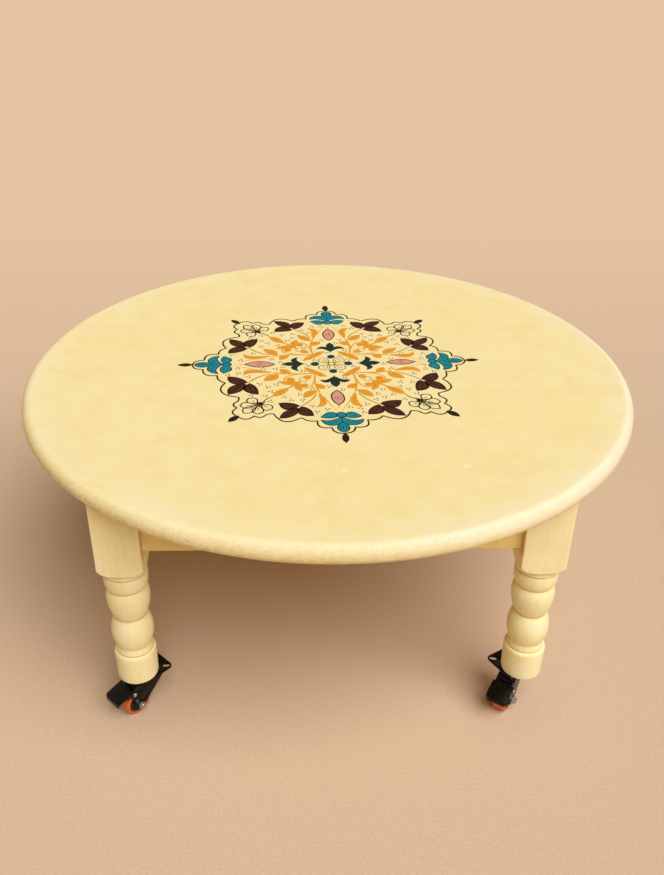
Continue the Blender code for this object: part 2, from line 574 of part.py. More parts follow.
for corner, turn, trailing, twist in CORNERS:
    axis = Matrix.Rotation(math.radians(turn), 3, "Z") @ Vector((-LEG_CENTRE, -LEG_CENTRE, 0.0))
    post = pivot(f"post_{corner}", None, axis, turn)
    place(f"leg_{corner}", leg, cream_paint, post, (0.0, 0.0, FOOT_BOTTOM))
    place(f"corner_brace_{corner}", brace, bare_pine, post, (0.0, 0.0, BRACE_BOTTOM))
    place(f"top_screw_{corner}", screw, zinc_steel, post, (SCREW_PLACE, SCREW_PLACE, BRACE_BOTTOM - SEAT_GAP))
    place(f"caster_plate_{corner}", plate, black_steel, post, (PLATE_INSET, PLATE_INSET, PLATE_BOTTOM), twist)
    place(f"kingpin_{corner}", kingpin, zinc_steel, post, (PLATE_INSET, PLATE_INSET, 0.0))

    swivel = pivot(f"swivel_{corner}", post, (PLATE_INSET, PLATE_INSET, 0.0), trailing - turn)
    place(f"ball_race_{corner}", race, black_steel, swivel, (0.0, 0.0, RACE_BOTTOM))
    place(f"fork_{corner}", fork, black_steel, swivel)
    hinge = pivot(f"brake_hinge_{corner}", swivel, (PIVOT_X, 0.0, PIVOT_Z))
    place(f"brake_pin_{corner}", pin, zinc_steel, hinge)
    place(f"brake_pedal_{corner}", pedal, black_steel, hinge)
    spindle = pivot(f"spindle_{corner}", swivel, (TRAIL, 0.0, AXLE_HEIGHT))
    place(f"axle_bolt_{corner}", bolt, zinc_steel, spindle)
    place(f"axle_nut_{corner}", nut, zinc_steel, spindle)
    place(f"wheel_core_{corner}", core, dark_nylon, spindle)
    place(f"wheel_tread_{corner}", tread, orange_tyre, spindle)
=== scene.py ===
import json
import math
import random

import bmesh
import bpy
import numpy as np
from mathutils import Matrix, Vector, kdtree, noise


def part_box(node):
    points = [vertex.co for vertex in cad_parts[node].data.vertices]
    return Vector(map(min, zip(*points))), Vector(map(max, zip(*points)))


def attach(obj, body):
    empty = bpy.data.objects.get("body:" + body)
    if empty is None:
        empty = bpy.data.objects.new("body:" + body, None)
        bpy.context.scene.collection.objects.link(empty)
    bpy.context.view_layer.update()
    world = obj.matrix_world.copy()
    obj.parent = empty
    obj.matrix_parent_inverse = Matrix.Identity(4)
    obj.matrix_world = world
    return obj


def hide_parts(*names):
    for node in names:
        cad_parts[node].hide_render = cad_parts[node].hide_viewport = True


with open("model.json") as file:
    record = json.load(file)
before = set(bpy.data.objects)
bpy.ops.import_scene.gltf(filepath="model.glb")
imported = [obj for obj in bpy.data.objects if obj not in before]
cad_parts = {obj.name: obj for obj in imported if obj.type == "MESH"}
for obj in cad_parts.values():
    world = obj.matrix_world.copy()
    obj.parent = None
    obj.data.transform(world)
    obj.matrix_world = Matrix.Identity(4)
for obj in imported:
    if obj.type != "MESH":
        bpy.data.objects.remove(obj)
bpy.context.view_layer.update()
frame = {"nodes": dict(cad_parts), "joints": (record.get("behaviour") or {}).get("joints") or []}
scene = bpy.context.scene
joints = {joint["name"]: joint for joint in frame["joints"]}

# Studio: a plain pale floor under soft daylight that comes mostly from the right and the front. The
# camera stands where the photograph was taken, well above the top and a little left of its middle.
CAMERA_PLACE = (-0.0357, -1.2314, 1.0357)
CAMERA_YAW = 1.97
CAMERA_PITCH = 31.05
CAMERA_ROLL = 0.81
CAMERA_LENS = 37.05
CAMERA_SENSOR = 36.0
FLOOR_RADIUS = 40.0
FLOOR_PALE_FROM, FLOOR_PALE_TO = 0.5, 2.0
FLOOR_FADE_FROM, FLOOR_FADE_TO = 12.0, 22.0
SKY_STRENGTH = 0.16
WINDOW_STRENGTH = 3.42
WINDOW_SPREAD = 50.0
WINDOW_AZIMUTH = 34.0
WINDOW_HEIGHT = 53.5


def tint(red, green, blue):
    """Colour read from 0 to 255, as the linear values that shaders take."""
    levels = [level / 255.0 for level in (red, green, blue)]
    return (*[x / 12.92 if x <= 0.04045 else ((x + 0.055) / 1.055) ** 2.4 for x in levels], 1.0)


def node(tree, kind, sockets=(), **settings):
    """Add a shader node; each socket takes a plain value or the output that feeds it."""
    made = tree.nodes.new("ShaderNode" + kind)
    for name, value in settings.items():
        setattr(made, name, value)
    for name, value in dict(sockets).items():
        if isinstance(value, bpy.types.NodeSocket):
            tree.links.new(value, made.inputs[name])
        else:
            made.inputs[name].default_value = value
    return made


def speckle(place, scale, detail=2.0, roughness=0.5):
    """Cloudy value from 0 to 1 at a place."""
    sockets = {"Vector": place, "Scale": scale, "Detail": detail, "Roughness": roughness}
    return node(place.id_data, "TexNoise", sockets).outputs["Fac"]


def ranged(value, low, high, start=0.0, end=1.0):
    """Value taken from one range to another and held at its ends."""
    sockets = {"Value": value, "From Min": low, "From Max": high, "To Min": start, "To Max": end}
    return node(value.id_data, "MapRange", sockets).outputs["Result"]


def worked(operation, first, second):
    """Result of one arithmetic step."""
    return node(first.id_data, "Math", {0: first, 1: second}, operation=operation).outputs[0]


def mixed(share, first, second):
    """Colour between two colours."""
    return node(share.id_data, "Mix", {0: share, 6: first, 7: second}, data_type="RGBA").outputs[2]


def axes(place):
    """X, Y and Z of a place."""
    return node(place.id_data, "SeparateXYZ", {"Vector": place}).outputs


def new_finish(name):
    """Material, its Principled shader, and the place of each point on a piece."""
    material = bpy.data.materials.new(name)
    material.use_nodes = True
    tree = material.node_tree
    return material, tree.nodes["Principled BSDF"], node(tree, "TexCoord").outputs["Object"]


FLOOR_TONE = tint(219, 191, 164)
GRAIN_TONE = tint(209, 181, 153)
FAR_FLOOR_LIGHT_TONE = tint(229, 198, 170)
SKY_TONE = tint(255, 230, 168)
BACKDROP_TONE = tint(216, 185, 153)
WINDOW_TONE = tint(251, 251, 251)

scene.view_settings.view_transform = "Standard"
camera = bpy.data.objects.new("camera", bpy.data.cameras.new("camera"))
camera.data.lens = CAMERA_LENS
camera.data.sensor_width = CAMERA_SENSOR
camera.matrix_world = (Matrix.Translation(CAMERA_PLACE)
                       @ Matrix.Rotation(math.radians(-CAMERA_YAW), 4, "Z")
                       @ Matrix.Rotation(math.radians(90.0 - CAMERA_PITCH), 4, "X")
                       @ Matrix.Rotation(math.radians(CAMERA_ROLL), 4, "Z"))
scene.collection.objects.link(camera)
scene.camera = camera

floor_finish, shader, place = new_finish("floor")
laid = mixed(ranged(speckle(place, 260.0, 3.0), 0.3, 0.7), FLOOR_TONE, GRAIN_TONE)
# Painted light: the floor is painted paler from half a metre to two metres behind the middle, fading back to
# its own tone between 12 and 22 m.
depth = axes(place)["Y"]
behind = worked("MULTIPLY", ranged(depth, FLOOR_PALE_FROM, FLOOR_PALE_TO),
                ranged(depth, FLOOR_FADE_FROM, FLOOR_FADE_TO, 1.0, 0.0))
shader.id_data.links.new(mixed(behind, laid, FAR_FLOOR_LIGHT_TONE), shader.inputs["Base Color"])
shader.inputs["Roughness"].default_value = 0.85
shader.inputs["Specular IOR Level"].default_value = 0.0
floor_body = bmesh.new()
bmesh.ops.create_circle(floor_body, cap_ends=True, segments=96, radius=FLOOR_RADIUS)
floor_mesh = bpy.data.meshes.new("floor")
floor_body.to_mesh(floor_mesh)
floor_body.free()
floor_mesh.materials.append(floor_finish)
floor = bpy.data.objects.new("floor", floor_mesh)
scene.collection.objects.link(floor)

scene.world = bpy.data.worlds.new("daylight")
scene.world.use_nodes = True
tree = scene.world.node_tree
sky = tree.nodes["Background"]
sky.inputs["Color"].default_value = SKY_TONE
sky.inputs["Strength"].default_value = SKY_STRENGTH
backdrop = node(tree, "Background", {"Color": BACKDROP_TONE, "Strength": 1.0})
rays = node(tree, "LightPath").outputs
seen = worked("MAXIMUM", rays["Is Camera Ray"],
              worked("MAXIMUM", rays["Is Glossy Ray"], rays["Is Transmission Ray"]))
shown = node(tree, "MixShader", {0: seen, 1: sky.outputs[0], 2: backdrop.outputs[0]})
tree.links.new(shown.outputs[0], tree.nodes["World Output"].inputs["Surface"])

window = bpy.data.objects.new("window", bpy.data.lights.new("window", "SUN"))
window.data.energy = WINDOW_STRENGTH
window.data.angle = math.radians(WINDOW_SPREAD)
window.data.color = WINDOW_TONE[:3]
window.rotation_euler = (math.radians(90.0 - WINDOW_HEIGHT), 0.0, math.radians(WINDOW_AZIMUTH))
scene.collection.objects.link(window)

# Legs: four lengths of square softwood, left square at the top for the joints and turned below to a
# ring, a cup, two bulbs and a foot. Cream chalk paint is brushed on, wears thin on the ridges and
# gathers, darker, in the grooves, where the darkening is partly painted shade. The legs' cream is
# painted paler than the top's as painted light, and the blocks' inner faces by the aprons are
# painted darker as painted shade.
CORNERS = ("front_left", "front_right", "rear_right", "rear_left")
LEG_SEGMENTS = 160
LEG_ARRIS = 0.0012
BLOCK_ROUND = 0.0014
FOOT_HEIGHT = 0.0435
FOOT_EDGE = 0.0015
FOOT_TAPER = 0.0006
FOOT_CUT = 0.0011
FOOT_ROUND_HEIGHT = 0.0055
COLLAR_CUT = 0.0044
COLLAR_LINE_WIDTH = 0.0020
COLLAR_LINE_DEPTH = 0.0008
ANKLE_HEIGHT = 0.0095
ANKLE_CUT = 0.0062
LOWER_BULB_HEIGHT = 0.052
LOWER_BULB_BELLY = 0.0235
LOWER_BULB_CUT = 0.0012
WAIST_CUT = 0.0080
UPPER_BULB_HEIGHT = 0.0498
UPPER_BULB_BELLY = 0.0325
UPPER_BULB_CUT = 0.0007
CREASE_CUT = 0.0052
CUP_HEIGHT = 0.0245
CUP_ROUND_HEIGHT = 0.015
CUP_CUT = 0.0004
NECK_HEIGHT = 0.0022
NECK_CUT = 0.0022
RING_HEIGHT = 0.0080
RING_CUT = 0.0003
TONGUE_HEIGHT = 0.0200
BLOCK_ROWS = 8
LEG_LOW, LEG_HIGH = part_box("leg_front_left")
LEG_LENGTH = LEG_HIGH.z - LEG_LOW.z
LEG_HALF = (LEG_HIGH.x - LEG_LOW.x) / 2.0
CREAM = tint(249, 229, 164)
# Painted light: the legs' cream is a little paler than the top's, to make up for the lesser light on their
# upright faces.
LEG_LIT_CREAM = tint(250, 236, 171)
CREAM_RUBBED = tint(253, 241, 206)
# Darker cream for paint gathered in hollows and for painted shade in grooves, at the joints and under the
# rim.
CREAM_GATHERED_AND_SHADE = tint(178, 134, 66)
LEG_STREAKS = 0.75
# Painted shade on the blocks next to the aprons.
JOINT_SHADE = 0.9
FOOT_SCUFF = 0.8


def arc(centre, radii, start, end, steps):
    """Points along part of an ellipse round a centre, angles in degrees."""
    angles = [math.radians(start + (end - start) * step / steps) for step in range(steps + 1)]
    return [(centre[0] + radii[0] * math.cos(a), centre[1] + radii[1] * math.sin(a)) for a in angles]


def bulb(bottom, belly, top, steps):
    """Points of a turned bulb between (radius, height) ends, fullest at its belly."""
    points = []
    for end, order in ((bottom, -1), (top, 1)):
        shares = [step / steps for step in range(steps + 1)][::order]
        points += [(belly[0] + (end[0] - belly[0]) * share ** 2,
                    belly[1] + (end[1] - belly[1]) * share) for share in shares]
    del points[steps]
    return points


def turned(profile, segments, ring=False):
    """Body spun about Z from (radius, height) points; a ring's profile closes on itself."""
    body = bmesh.new()
    points = [body.verts.new((radius, 0.0, height)) for radius, height in profile]
    edges = [body.edges.new(pair) for pair in zip(points, points[1:])]
    if ring:
        edges.append(body.edges.new((points[-1], points[0])))
    bmesh.ops.spin(body, geom=points + edges, cent=(0, 0, 0), axis=(0, 0, 1),
                   angle=2.0 * math.pi, steps=segments, use_merge=True)
    bmesh.ops.remove_doubles(body, verts=body.verts[:], dist=1e-6)
    bmesh.ops.recalc_face_normals(body, faces=body.faces[:])
    return body


def stock_reach(angle):
    """Distance from a leg's axis to the face of its square stock, whose long edges are rounded."""
    fold = abs((angle + math.pi / 4.0) % (math.pi / 2.0) - math.pi / 4.0)
    flat = LEG_HALF - BLOCK_ROUND
    if math.tan(fold) <= flat / LEG_HALF:
        return LEG_HALF / math.cos(fold)
    middle = flat * (math.cos(fold) + math.sin(fold))
    return middle + math.sqrt(middle ** 2 - 2.0 * flat ** 2 + BLOCK_ROUND ** 2)


def softened(reach, limit):
    """The lesser of two radii, blended where they cross as sandpaper leaves an arris."""
    overlap = max(LEG_ARRIS - abs(reach - limit), 0.0) / LEG_ARRIS
    return min(reach, limit) - overlap ** 2 * LEG_ARRIS / 4.0


def smooth_mesh(name, body, sharp=40.0):
    """Mesh of a body, shaded smooth except over edges sharper than an angle in degrees."""
    mesh = bpy.data.meshes.new(name)
    body.to_mesh(mesh)
    body.free()
    mesh.shade_smooth()
    mesh.set_sharp_from_angle(angle=math.radians(sharp))
    return mesh


def mark_ridges(mesh, gain, passes, proud):
    """Keep on each point, as ridge, how far it stands out (up to proud) or lies in a groove (under 0)."""
    count = len(mesh.vertices)
    places = np.empty(count * 3, np.float32)
    mesh.vertices.foreach_get("co", places)
    places = places.reshape(-1, 3)
    normals = np.array([vertex.normal for vertex in mesh.vertices])
    ends = np.empty(len(mesh.edges) * 2, np.int32)
    mesh.edges.foreach_get("vertices", ends)
    first, second = ends.reshape(-1, 2).T
    along = places[second] - places[first]
    along /= np.maximum(np.linalg.norm(along, axis=1), 1e-9)[:, None]
    ridge = np.zeros(count)
    meeting = np.zeros(count)
    for near, way in ((first, -1.0), (second, 1.0)):
        np.add.at(ridge, near, way * np.einsum("ij,ij->i", normals[near], along))
        np.add.at(meeting, near, 1.0)
    ridge /= np.maximum(meeting, 1.0)
    for _ in range(passes):
        spread = np.zeros(count)
        np.add.at(spread, first, ridge[second])
        np.add.at(spread, second, ridge[first])
        ridge = (ridge + spread / np.maximum(meeting, 1.0)) / 2.0
    layer = mesh.attributes.new("ridge", "FLOAT", "POINT")
    layer.data.foreach_set("value", np.clip(ridge * gain, -1.0, proud).astype(np.float32))


def piece(name, mesh, finish, body, nodes=()):
    """Show a mesh as a piece that moves with a body and stands for CAD nodes."""
    made = bpy.data.objects.new(name, mesh)
    mesh.materials.clear()
    mesh.materials.append(finish)
    scene.collection.objects.link(made)
    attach(made, body)
    if nodes:
        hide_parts(*nodes)


def copied(name, mesh, matrix):
    """Copy of a mesh with its place worked into its points."""
    made = mesh.copy()
    made.name = name
    made.transform(matrix)
    return made


chalk_paint = bpy.data.node_groups.new("chalk_paint", "ShaderNodeTree")
for name, kind in (("Strokes", "NodeSocketVector"), ("Coat", "NodeSocketColor"),
                   ("Rubbed", "NodeSocketColor"), ("Gathered and shade", "NodeSocketColor"),
                   ("Ridge and shade", "NodeSocketFloat"), ("Scuff", "NodeSocketFloat"),
                   ("Streaks", "NodeSocketFloat")):
    chalk_paint.interface.new_socket(name, in_out="INPUT", socket_type=kind)
for name, kind in (("Colour", "NodeSocketColor"), ("Roughness", "NodeSocketFloat"),
                   ("Height", "NodeSocketFloat")):
    chalk_paint.interface.new_socket(name, in_out="OUTPUT", socket_type=kind)
tree = chalk_paint
given = tree.nodes.new("NodeGroupInput").outputs
result = tree.nodes.new("NodeGroupOutput").inputs
place = node(tree, "TexCoord").outputs["Object"]
cloud = speckle(place, 6.0, 3.0)
patch = speckle(place, 30.0, 5.0, 0.65)
bristle = speckle(given["Strokes"], 240.0, 5.0, 0.65)
chalk = speckle(place, 900.0, 2.0)
coat = mixed(ranged(cloud, 0.35, 0.75, 0.0, 0.28), given["Coat"], given["Rubbed"])
coat = mixed(ranged(patch, 0.45, 0.7, 0.0, 0.45), coat, given["Rubbed"])
coat = mixed(ranged(patch, 0.5, 0.3, 0.0, 0.07), coat, given["Gathered and shade"])
thin = worked("MULTIPLY", ranged(bristle, 0.5, 0.75, 0.0, 0.6), given["Streaks"])
thick = worked("MULTIPLY", ranged(bristle, 0.5, 0.2, 0.0, 0.2), given["Streaks"])
coat = mixed(thick, mixed(thin, coat, given["Rubbed"]), given["Gathered and shade"])
coat = mixed(ranged(chalk, 0.55, 0.8, 0.0, 0.3), coat, given["Rubbed"])
ragged = worked("ADD", given["Ridge and shade"], ranged(patch, 0.3, 0.7, -0.2, 0.2))
rubbed = worked("MAXIMUM", ranged(ragged, 0.15, 0.7, 0.0, 0.85), given["Scuff"])
coat = mixed(rubbed, coat, given["Rubbed"])
# Sunk places take the gathered colour; the ridge input also carries painted shade, so this darkening is
# partly gathered paint and partly painted shade.
sunk_and_shaded = worked("ADD", given["Ridge and shade"], ranged(bristle, 0.3, 0.7, -0.12, 0.12))
coat = mixed(ranged(sunk_and_shaded, -0.12, -0.85, 0.0, 0.55), coat, given["Gathered and shade"])
tree.links.new(coat, result["Colour"])
tree.links.new(ranged(patch, 0.3, 0.7, 0.5, 0.64), result["Roughness"])
tree.links.new(worked("ADD", bristle, worked("MULTIPLY", chalk, 0.35)), result["Height"])


def stretched(place, scale):
    """Place with each of its axes scaled."""
    return node(place.id_data, "Mapping", {"Vector": place, "Scale": scale}).outputs["Vector"]


def dress(shader, colour, roughness, height=None, strength=0.0, distance=0.0):
    """Feed a shader its colour and roughness, and a bump where a height is given."""
    links = shader.id_data.links
    links.new(colour, shader.inputs["Base Color"])
    links.new(roughness, shader.inputs["Roughness"])
    if height is not None:
        sockets = {"Height": height, "Strength": strength, "Distance": distance}
        links.new(node(shader.id_data, "Bump", sockets).outputs["Normal"], shader.inputs["Normal"])


def cream_paint(name, stretch, streaks, tone=CREAM, rubbed=CREAM_RUBBED):
    """Cream chalk paint brushed along the axes that are stretched least, with its group and places."""
    material, shader, place = new_finish(name)
    ridge = node(shader.id_data, "Attribute", attribute_name="ridge").outputs["Fac"]
    sockets = {"Strokes": stretched(place, stretch), "Ridge and shade": ridge, "Coat": tone, "Rubbed": rubbed,
               "Gathered and shade": CREAM_GATHERED_AND_SHADE, "Streaks": streaks}
    coat = node(shader.id_data, "Group", sockets, node_tree=chalk_paint)
    dress(shader, *[coat.outputs[name] for name in ("Colour", "Roughness", "Height")], 0.25, 0.0005)
    shader.inputs["Specular IOR Level"].default_value = 0.35
    return material, coat, place


foot = LEG_HALF - FOOT_CUT
sole = foot - FOOT_TAPER
collar = LEG_HALF - COLLAR_CUT
ankle = LEG_HALF - ANKLE_CUT
waist = LEG_HALF - WAIST_CUT
crease = LEG_HALF - CREASE_CUT
cup = LEG_HALF - CUP_CUT
neck = LEG_HALF - NECK_CUT
ring = LEG_HALF - RING_CUT
line_bottom = collar - COLLAR_LINE_DEPTH
profile = [(0.0, 0.0), (sole - 3.0 * FOOT_EDGE, 0.0)]
profile += arc((sole - FOOT_EDGE, FOOT_EDGE), (FOOT_EDGE, FOOT_EDGE), -90.0, 0.0, 4)
profile += [(sole + FOOT_TAPER * share, FOOT_HEIGHT * share) for share in (0.25, 0.5, 0.75)]
profile += arc((collar, FOOT_HEIGHT), (foot - collar, FOOT_ROUND_HEIGHT), 0.0, 90.0, 9)
level = FOOT_HEIGHT + FOOT_ROUND_HEIGHT
profile += [(line_bottom, level + COLLAR_LINE_WIDTH * 0.3), (line_bottom, level + COLLAR_LINE_WIDTH * 0.7)]
level += COLLAR_LINE_WIDTH
profile += [(collar + (ankle - collar) * share, level + ANKLE_HEIGHT * share)
            for share in (0.0, 0.33, 0.67, 0.9)]
level += ANKLE_HEIGHT
low = (ankle, level)
belly = (LEG_HALF - LOWER_BULB_CUT, level + LOWER_BULB_BELLY)
level += LOWER_BULB_HEIGHT
profile += bulb(low, belly, (waist, level), 12)
low = (waist, level)
belly = (LEG_HALF - UPPER_BULB_CUT, level + UPPER_BULB_BELLY)
level += UPPER_BULB_HEIGHT
profile += bulb(low, belly, (crease, level), 12)[1:]
profile += arc((crease, level + CUP_ROUND_HEIGHT), (cup - crease, CUP_ROUND_HEIGHT), -90.0, 0.0, 8)[1:]
level += CUP_HEIGHT
profile += [(cup, level - NECK_HEIGHT), (cup - NECK_CUT * 0.15, level - NECK_HEIGHT * 0.2),
            (cup - NECK_CUT * 0.4, level), (neck, level), (neck, level + NECK_HEIGHT)]
level += NECK_HEIGHT
profile += [(ring - RING_CUT, level), (ring, level + 2.0 * RING_CUT), (ring, level + RING_HEIGHT / 2.0),
            (ring, level + RING_HEIGHT)]
level += RING_HEIGHT
block_bottom = level - RING_CUT
clear_of_corner = LEG_HALF * math.sqrt(2.0) + FOOT_EDGE
profile += [(LEG_HALF - RING_CUT / 2.0, level)]
profile += arc((LEG_HALF, level + TONGUE_HEIGHT), (clear_of_corner - LEG_HALF, TONGUE_HEIGHT),
               -88.0, 0.0, 22)
climb = LEG_LENGTH - level - TONGUE_HEIGHT
profile += [(clear_of_corner, level + TONGUE_HEIGHT + climb * row / BLOCK_ROWS)
            for row in range(1, BLOCK_ROWS + 1)]
profile += [(0.0, LEG_LENGTH)]

leg = turned(profile, LEG_SEGMENTS)
for point in leg.verts:
    reach = point.co.xy.length
    if point.co.z > block_bottom and reach > 0.0:
        limit = stock_reach(math.atan2(point.co.y, point.co.x))
        point.co.xy = point.co.xy * (softened(reach, limit) / reach)
leg_mesh = smooth_mesh("leg", leg)
mark_ridges(leg_mesh, gain=9.0, passes=2, proud=0.22)
leg_paint, coat, place = cream_paint("cream_paint_legs", (1.0, 1.0, 0.12), LEG_STREAKS, LEG_LIT_CREAM)
tree = leg_paint.node_tree
spot = axes(place)
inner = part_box("leg_front_right")[0].x
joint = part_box("apron_front")[0].z
# Painted shade: each block's inner faces are darkened next to the apron joint, under the top, where shade
# falls.
nearest = worked("MINIMUM", *[worked("ABSOLUTE", spot[axis], 0.0) for axis in "XY"])
corner = worked("MULTIPLY", ranged(nearest, inner + BLOCK_ROUND, inner, 0.0, JOINT_SHADE),
                ranged(spot["Z"], joint - TONGUE_HEIGHT, joint))
ridge = coat.inputs["Ridge and shade"].links[0].from_socket
tree.links.new(worked("SUBTRACT", ridge, corner), coat.inputs["Ridge and shade"])
knocks = ranged(speckle(place, 48.0, 5.0, 0.65), 0.4, 0.65, 0.0, FOOT_SCUFF)
low_down = ranged(spot["Z"], LEG_LOW.z + FOOT_HEIGHT, LEG_LOW.z)
tree.links.new(worked("MULTIPLY", knocks, low_down), coat.inputs["Scuff"])
for corner in CORNERS:
    low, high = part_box(f"leg_{corner}")
    middle = Matrix.Translation((*((low + high) / 2.0).xy, low.z))
    piece(f"turned_leg_{corner}", copied(f"leg_{corner}", leg_mesh, middle), leg_paint,
          "table", [f"leg_{corner}"])

# Aprons: four plain softwood rails set back from the faces of the legs, with a tenon on each end and
# the lower edges softened. They are painted along their length, in a deeper cream that is painted
# shade, for the shade under the top.
SIDES = ("front", "right", "rear", "left")
SEAT_GAP = 0.0003
APRON_ARRIS = 0.0018
TENON_LENGTH = 0.024
TENON_THICKNESS = 0.009
TENON_SHOULDER = 0.012
# Painted shade: the rails' cream is deeper than the legs', for the shade under the top.
RAIL_SHADED_CREAM = tint(245, 214, 126)
RAIL_STREAKS = 0.6
RAIL_STROKES = (("long_rails", (0.06, 1.0, 1.0)), ("cross_rails", (1.0, 0.06, 1.0)))


def moved(body, matrix):
    """Body with all its points taken through a matrix."""
    bmesh.ops.transform(body, matrix=matrix, verts=body.verts[:])
    return body


def eased(body, edges, offset, segments, clamped=False):
    """Round off some edges of a body."""
    bmesh.ops.bevel(body, geom=edges, offset=offset, segments=segments, profile=0.5, affect="EDGES",
                    material=-1, clamp_overlap=clamped)


low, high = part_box("apron_front")
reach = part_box("leg_front_right")[0].x - SEAT_GAP
size = Vector((2.0 * reach, *(high - low).yz))
middle = Vector((0.0, *((low + high) / 2.0).yz))
narrow = Matrix.Diagonal((1.0, TENON_THICKNESS / size.y, 1.0 - 2.0 * TENON_SHOULDER / size.z, 1.0))
rail = bmesh.new()
bmesh.ops.create_cube(rail, size=1.0)
moved(rail, Matrix.Translation(middle) @ Matrix.Diagonal((*size, 1.0)))
lower = [edge for edge in rail.edges if all(v.co.z < low.z + 1e-6 for v in edge.verts)
         and abs(edge.verts[0].co.x - edge.verts[1].co.x) > reach]
eased(rail, lower, APRON_ARRIS, 4)
for end in (-1.0, 1.0):
    face = max(rail.faces, key=lambda each: end * each.calc_center_median().x)
    shoulder = bmesh.ops.extrude_discrete_faces(rail, faces=[face])["faces"][0]
    bmesh.ops.transform(rail, matrix=narrow, space=Matrix.Translation(-middle), verts=shoulder.verts[:])
    tip = bmesh.ops.extrude_discrete_faces(rail, faces=[shoulder])["faces"][0]
    bmesh.ops.translate(rail, verts=tip.verts[:], vec=(end * TENON_LENGTH, 0.0, 0.0))
bmesh.ops.recalc_face_normals(rail, faces=rail.faces[:])
apron_mesh = smooth_mesh("apron", rail)
mark_ridges(apron_mesh, gain=1.2, passes=0, proud=0.3)
rail_paints = [cream_paint(f"cream_paint_{name}", stretch, RAIL_STREAKS, RAIL_SHADED_CREAM, CREAM)[0]
               for name, stretch in RAIL_STROKES]
for quarter, side in enumerate(SIDES):
    turn = Matrix.Rotation(quarter * math.pi / 2.0, 4, "Z")
    piece(f"painted_apron_{side}", copied(f"apron_{side}", apron_mesh, turn), rail_paints[quarter % 2],
          "table", [f"apron_{side}"])

# Corner braces: sawn pine blocks across the corners behind the legs, with a zinc-plated screw through
# each that holds the top down. They are left bare, and show only from underneath.
BRACE_ARRIS = 0.0010
BRACE_FOLD = 40.0
PINE_PALE = tint(222, 184, 132)
PINE_LATE = tint(176, 122, 70)


def merged_copy(name):
    """Body copied from a CAD node, its loose triangles joined into flat faces."""
    body = bmesh.new()
    body.from_mesh(frame["nodes"][name].data)
    bmesh.ops.remove_doubles(body, verts=body.verts[:], dist=1e-6)
    bmesh.ops.dissolve_limit(body, angle_limit=math.radians(1.0), verts=body.verts[:], edges=body.edges[:])
    return body


pine, shader, place = new_finish("bare_pine")
sockets = {"Vector": place, "Scale": 55.0, "Distortion": 6.0, "Detail": 3.0, "Detail Scale": 0.6}
rings = node(shader.id_data, "TexWave", sockets, wave_type="BANDS", bands_direction="DIAGONAL")
fibre = speckle(stretched(place, (1.0, 1.0, 0.2)), 900.0, 3.0)
grain = mixed(ranged(rings.outputs["Fac"], 0.35, 0.95), PINE_PALE, PINE_LATE)
dress(shader, mixed(ranged(fibre, 0.45, 0.8, 0.0, 0.4), grain, PINE_LATE), ranged(fibre, 0.3, 0.7, 0.6, 0.8),
      fibre, 0.3, 0.0004)

for corner in CORNERS:
    brace = merged_copy(f"corner_brace_{corner}")
    outer = [edge for edge in brace.edges if edge.calc_face_angle(0.0) > math.radians(BRACE_FOLD)
             and edge.calc_length() > 2.0 * BRACE_ARRIS]
    eased(brace, outer, BRACE_ARRIS, 2, True)
    piece(f"pine_brace_{corner}", smooth_mesh(f"corner_brace_{corner}", brace, sharp=30.0), pine,
          "table", [f"corner_brace_{corner}"])

# Screws under the braces: round-headed wood screws, cold-formed in steel with a cross slot in the
# head and plated with zinc.
SCREW_RADIUS = 0.0022
SCREW_HEAD_RADIUS = 0.0045
SCREW_HEAD_HEIGHT = 0.0030
SCREW_POINT = 0.005
CROSS_WIDTH = 0.0009
CROSS_REACH = 0.0024
CROSS_DEPTH = 0.0016
ARRIS_ANGLE = 35.0
ZINC_BRIGHT = tint(190, 192, 194)
ZINC_DULL = tint(156, 158, 160)
ZINC_BLOOM = tint(176, 168, 150)


def carved(name, body, *steps, arris=0.0, sharp=28.0):
    """Mesh of a body after Boolean steps of (operation, other body), its sharp edges eased."""
    helpers = []
    for shape in (body, *(other for _, other in steps)):
        mesh = bpy.data.meshes.new("shape")
        shape.to_mesh(mesh)
        shape.free()
        helpers.append(bpy.data.objects.new("shape", mesh))
        scene.collection.objects.link(helpers[-1])
    for (operation, _), other in zip(steps, helpers[1:]):
        change = helpers[0].modifiers.new(operation, "BOOLEAN")
        change.operation = operation
        change.object = other
    if arris:
        ease = helpers[0].modifiers.new("arris", "BEVEL")
        ease.width = arris
        ease.segments = 2
        ease.limit_method = "ANGLE"
        ease.angle_limit = math.radians(ARRIS_ANGLE)
    view = bpy.context.evaluated_depsgraph_get()
    mesh = bpy.data.meshes.new_from_object(helpers[0].evaluated_get(view))
    mesh.name = name
    for helper in helpers:
        bpy.data.objects.remove(helper, do_unlink=True)
    mesh.shade_smooth()
    mesh.set_sharp_from_angle(angle=math.radians(sharp))
    return mesh


def bar(length, width, height, middle):
    """Square-edged bar round a middle point."""
    body = bmesh.new()
    bmesh.ops.create_cube(body, size=1.0)
    return moved(body, Matrix.Translation(middle) @ Matrix.Diagonal((length, width, height, 1.0)))


def round_screw(name, radius, head_radius, head_height, length):
    """Round-headed screw pointing up, with its head hanging under the origin and a cross slot in it."""
    outline = [(0.0, -head_height)] + arc((0.0, 0.0), (head_radius, -head_height), 80.0, 0.0, 8)
    outline += [(radius, 0.0), (radius, length - SCREW_POINT), (0.0, length)]
    slots = [bar(*size, CROSS_DEPTH * 2.0, (0.0, 0.0, -head_height)) for size in
             ((2.0 * CROSS_REACH, CROSS_WIDTH), (CROSS_WIDTH, 2.0 * CROSS_REACH))]
    return carved(name, turned(outline, 32), *[("DIFFERENCE", slot) for slot in slots])


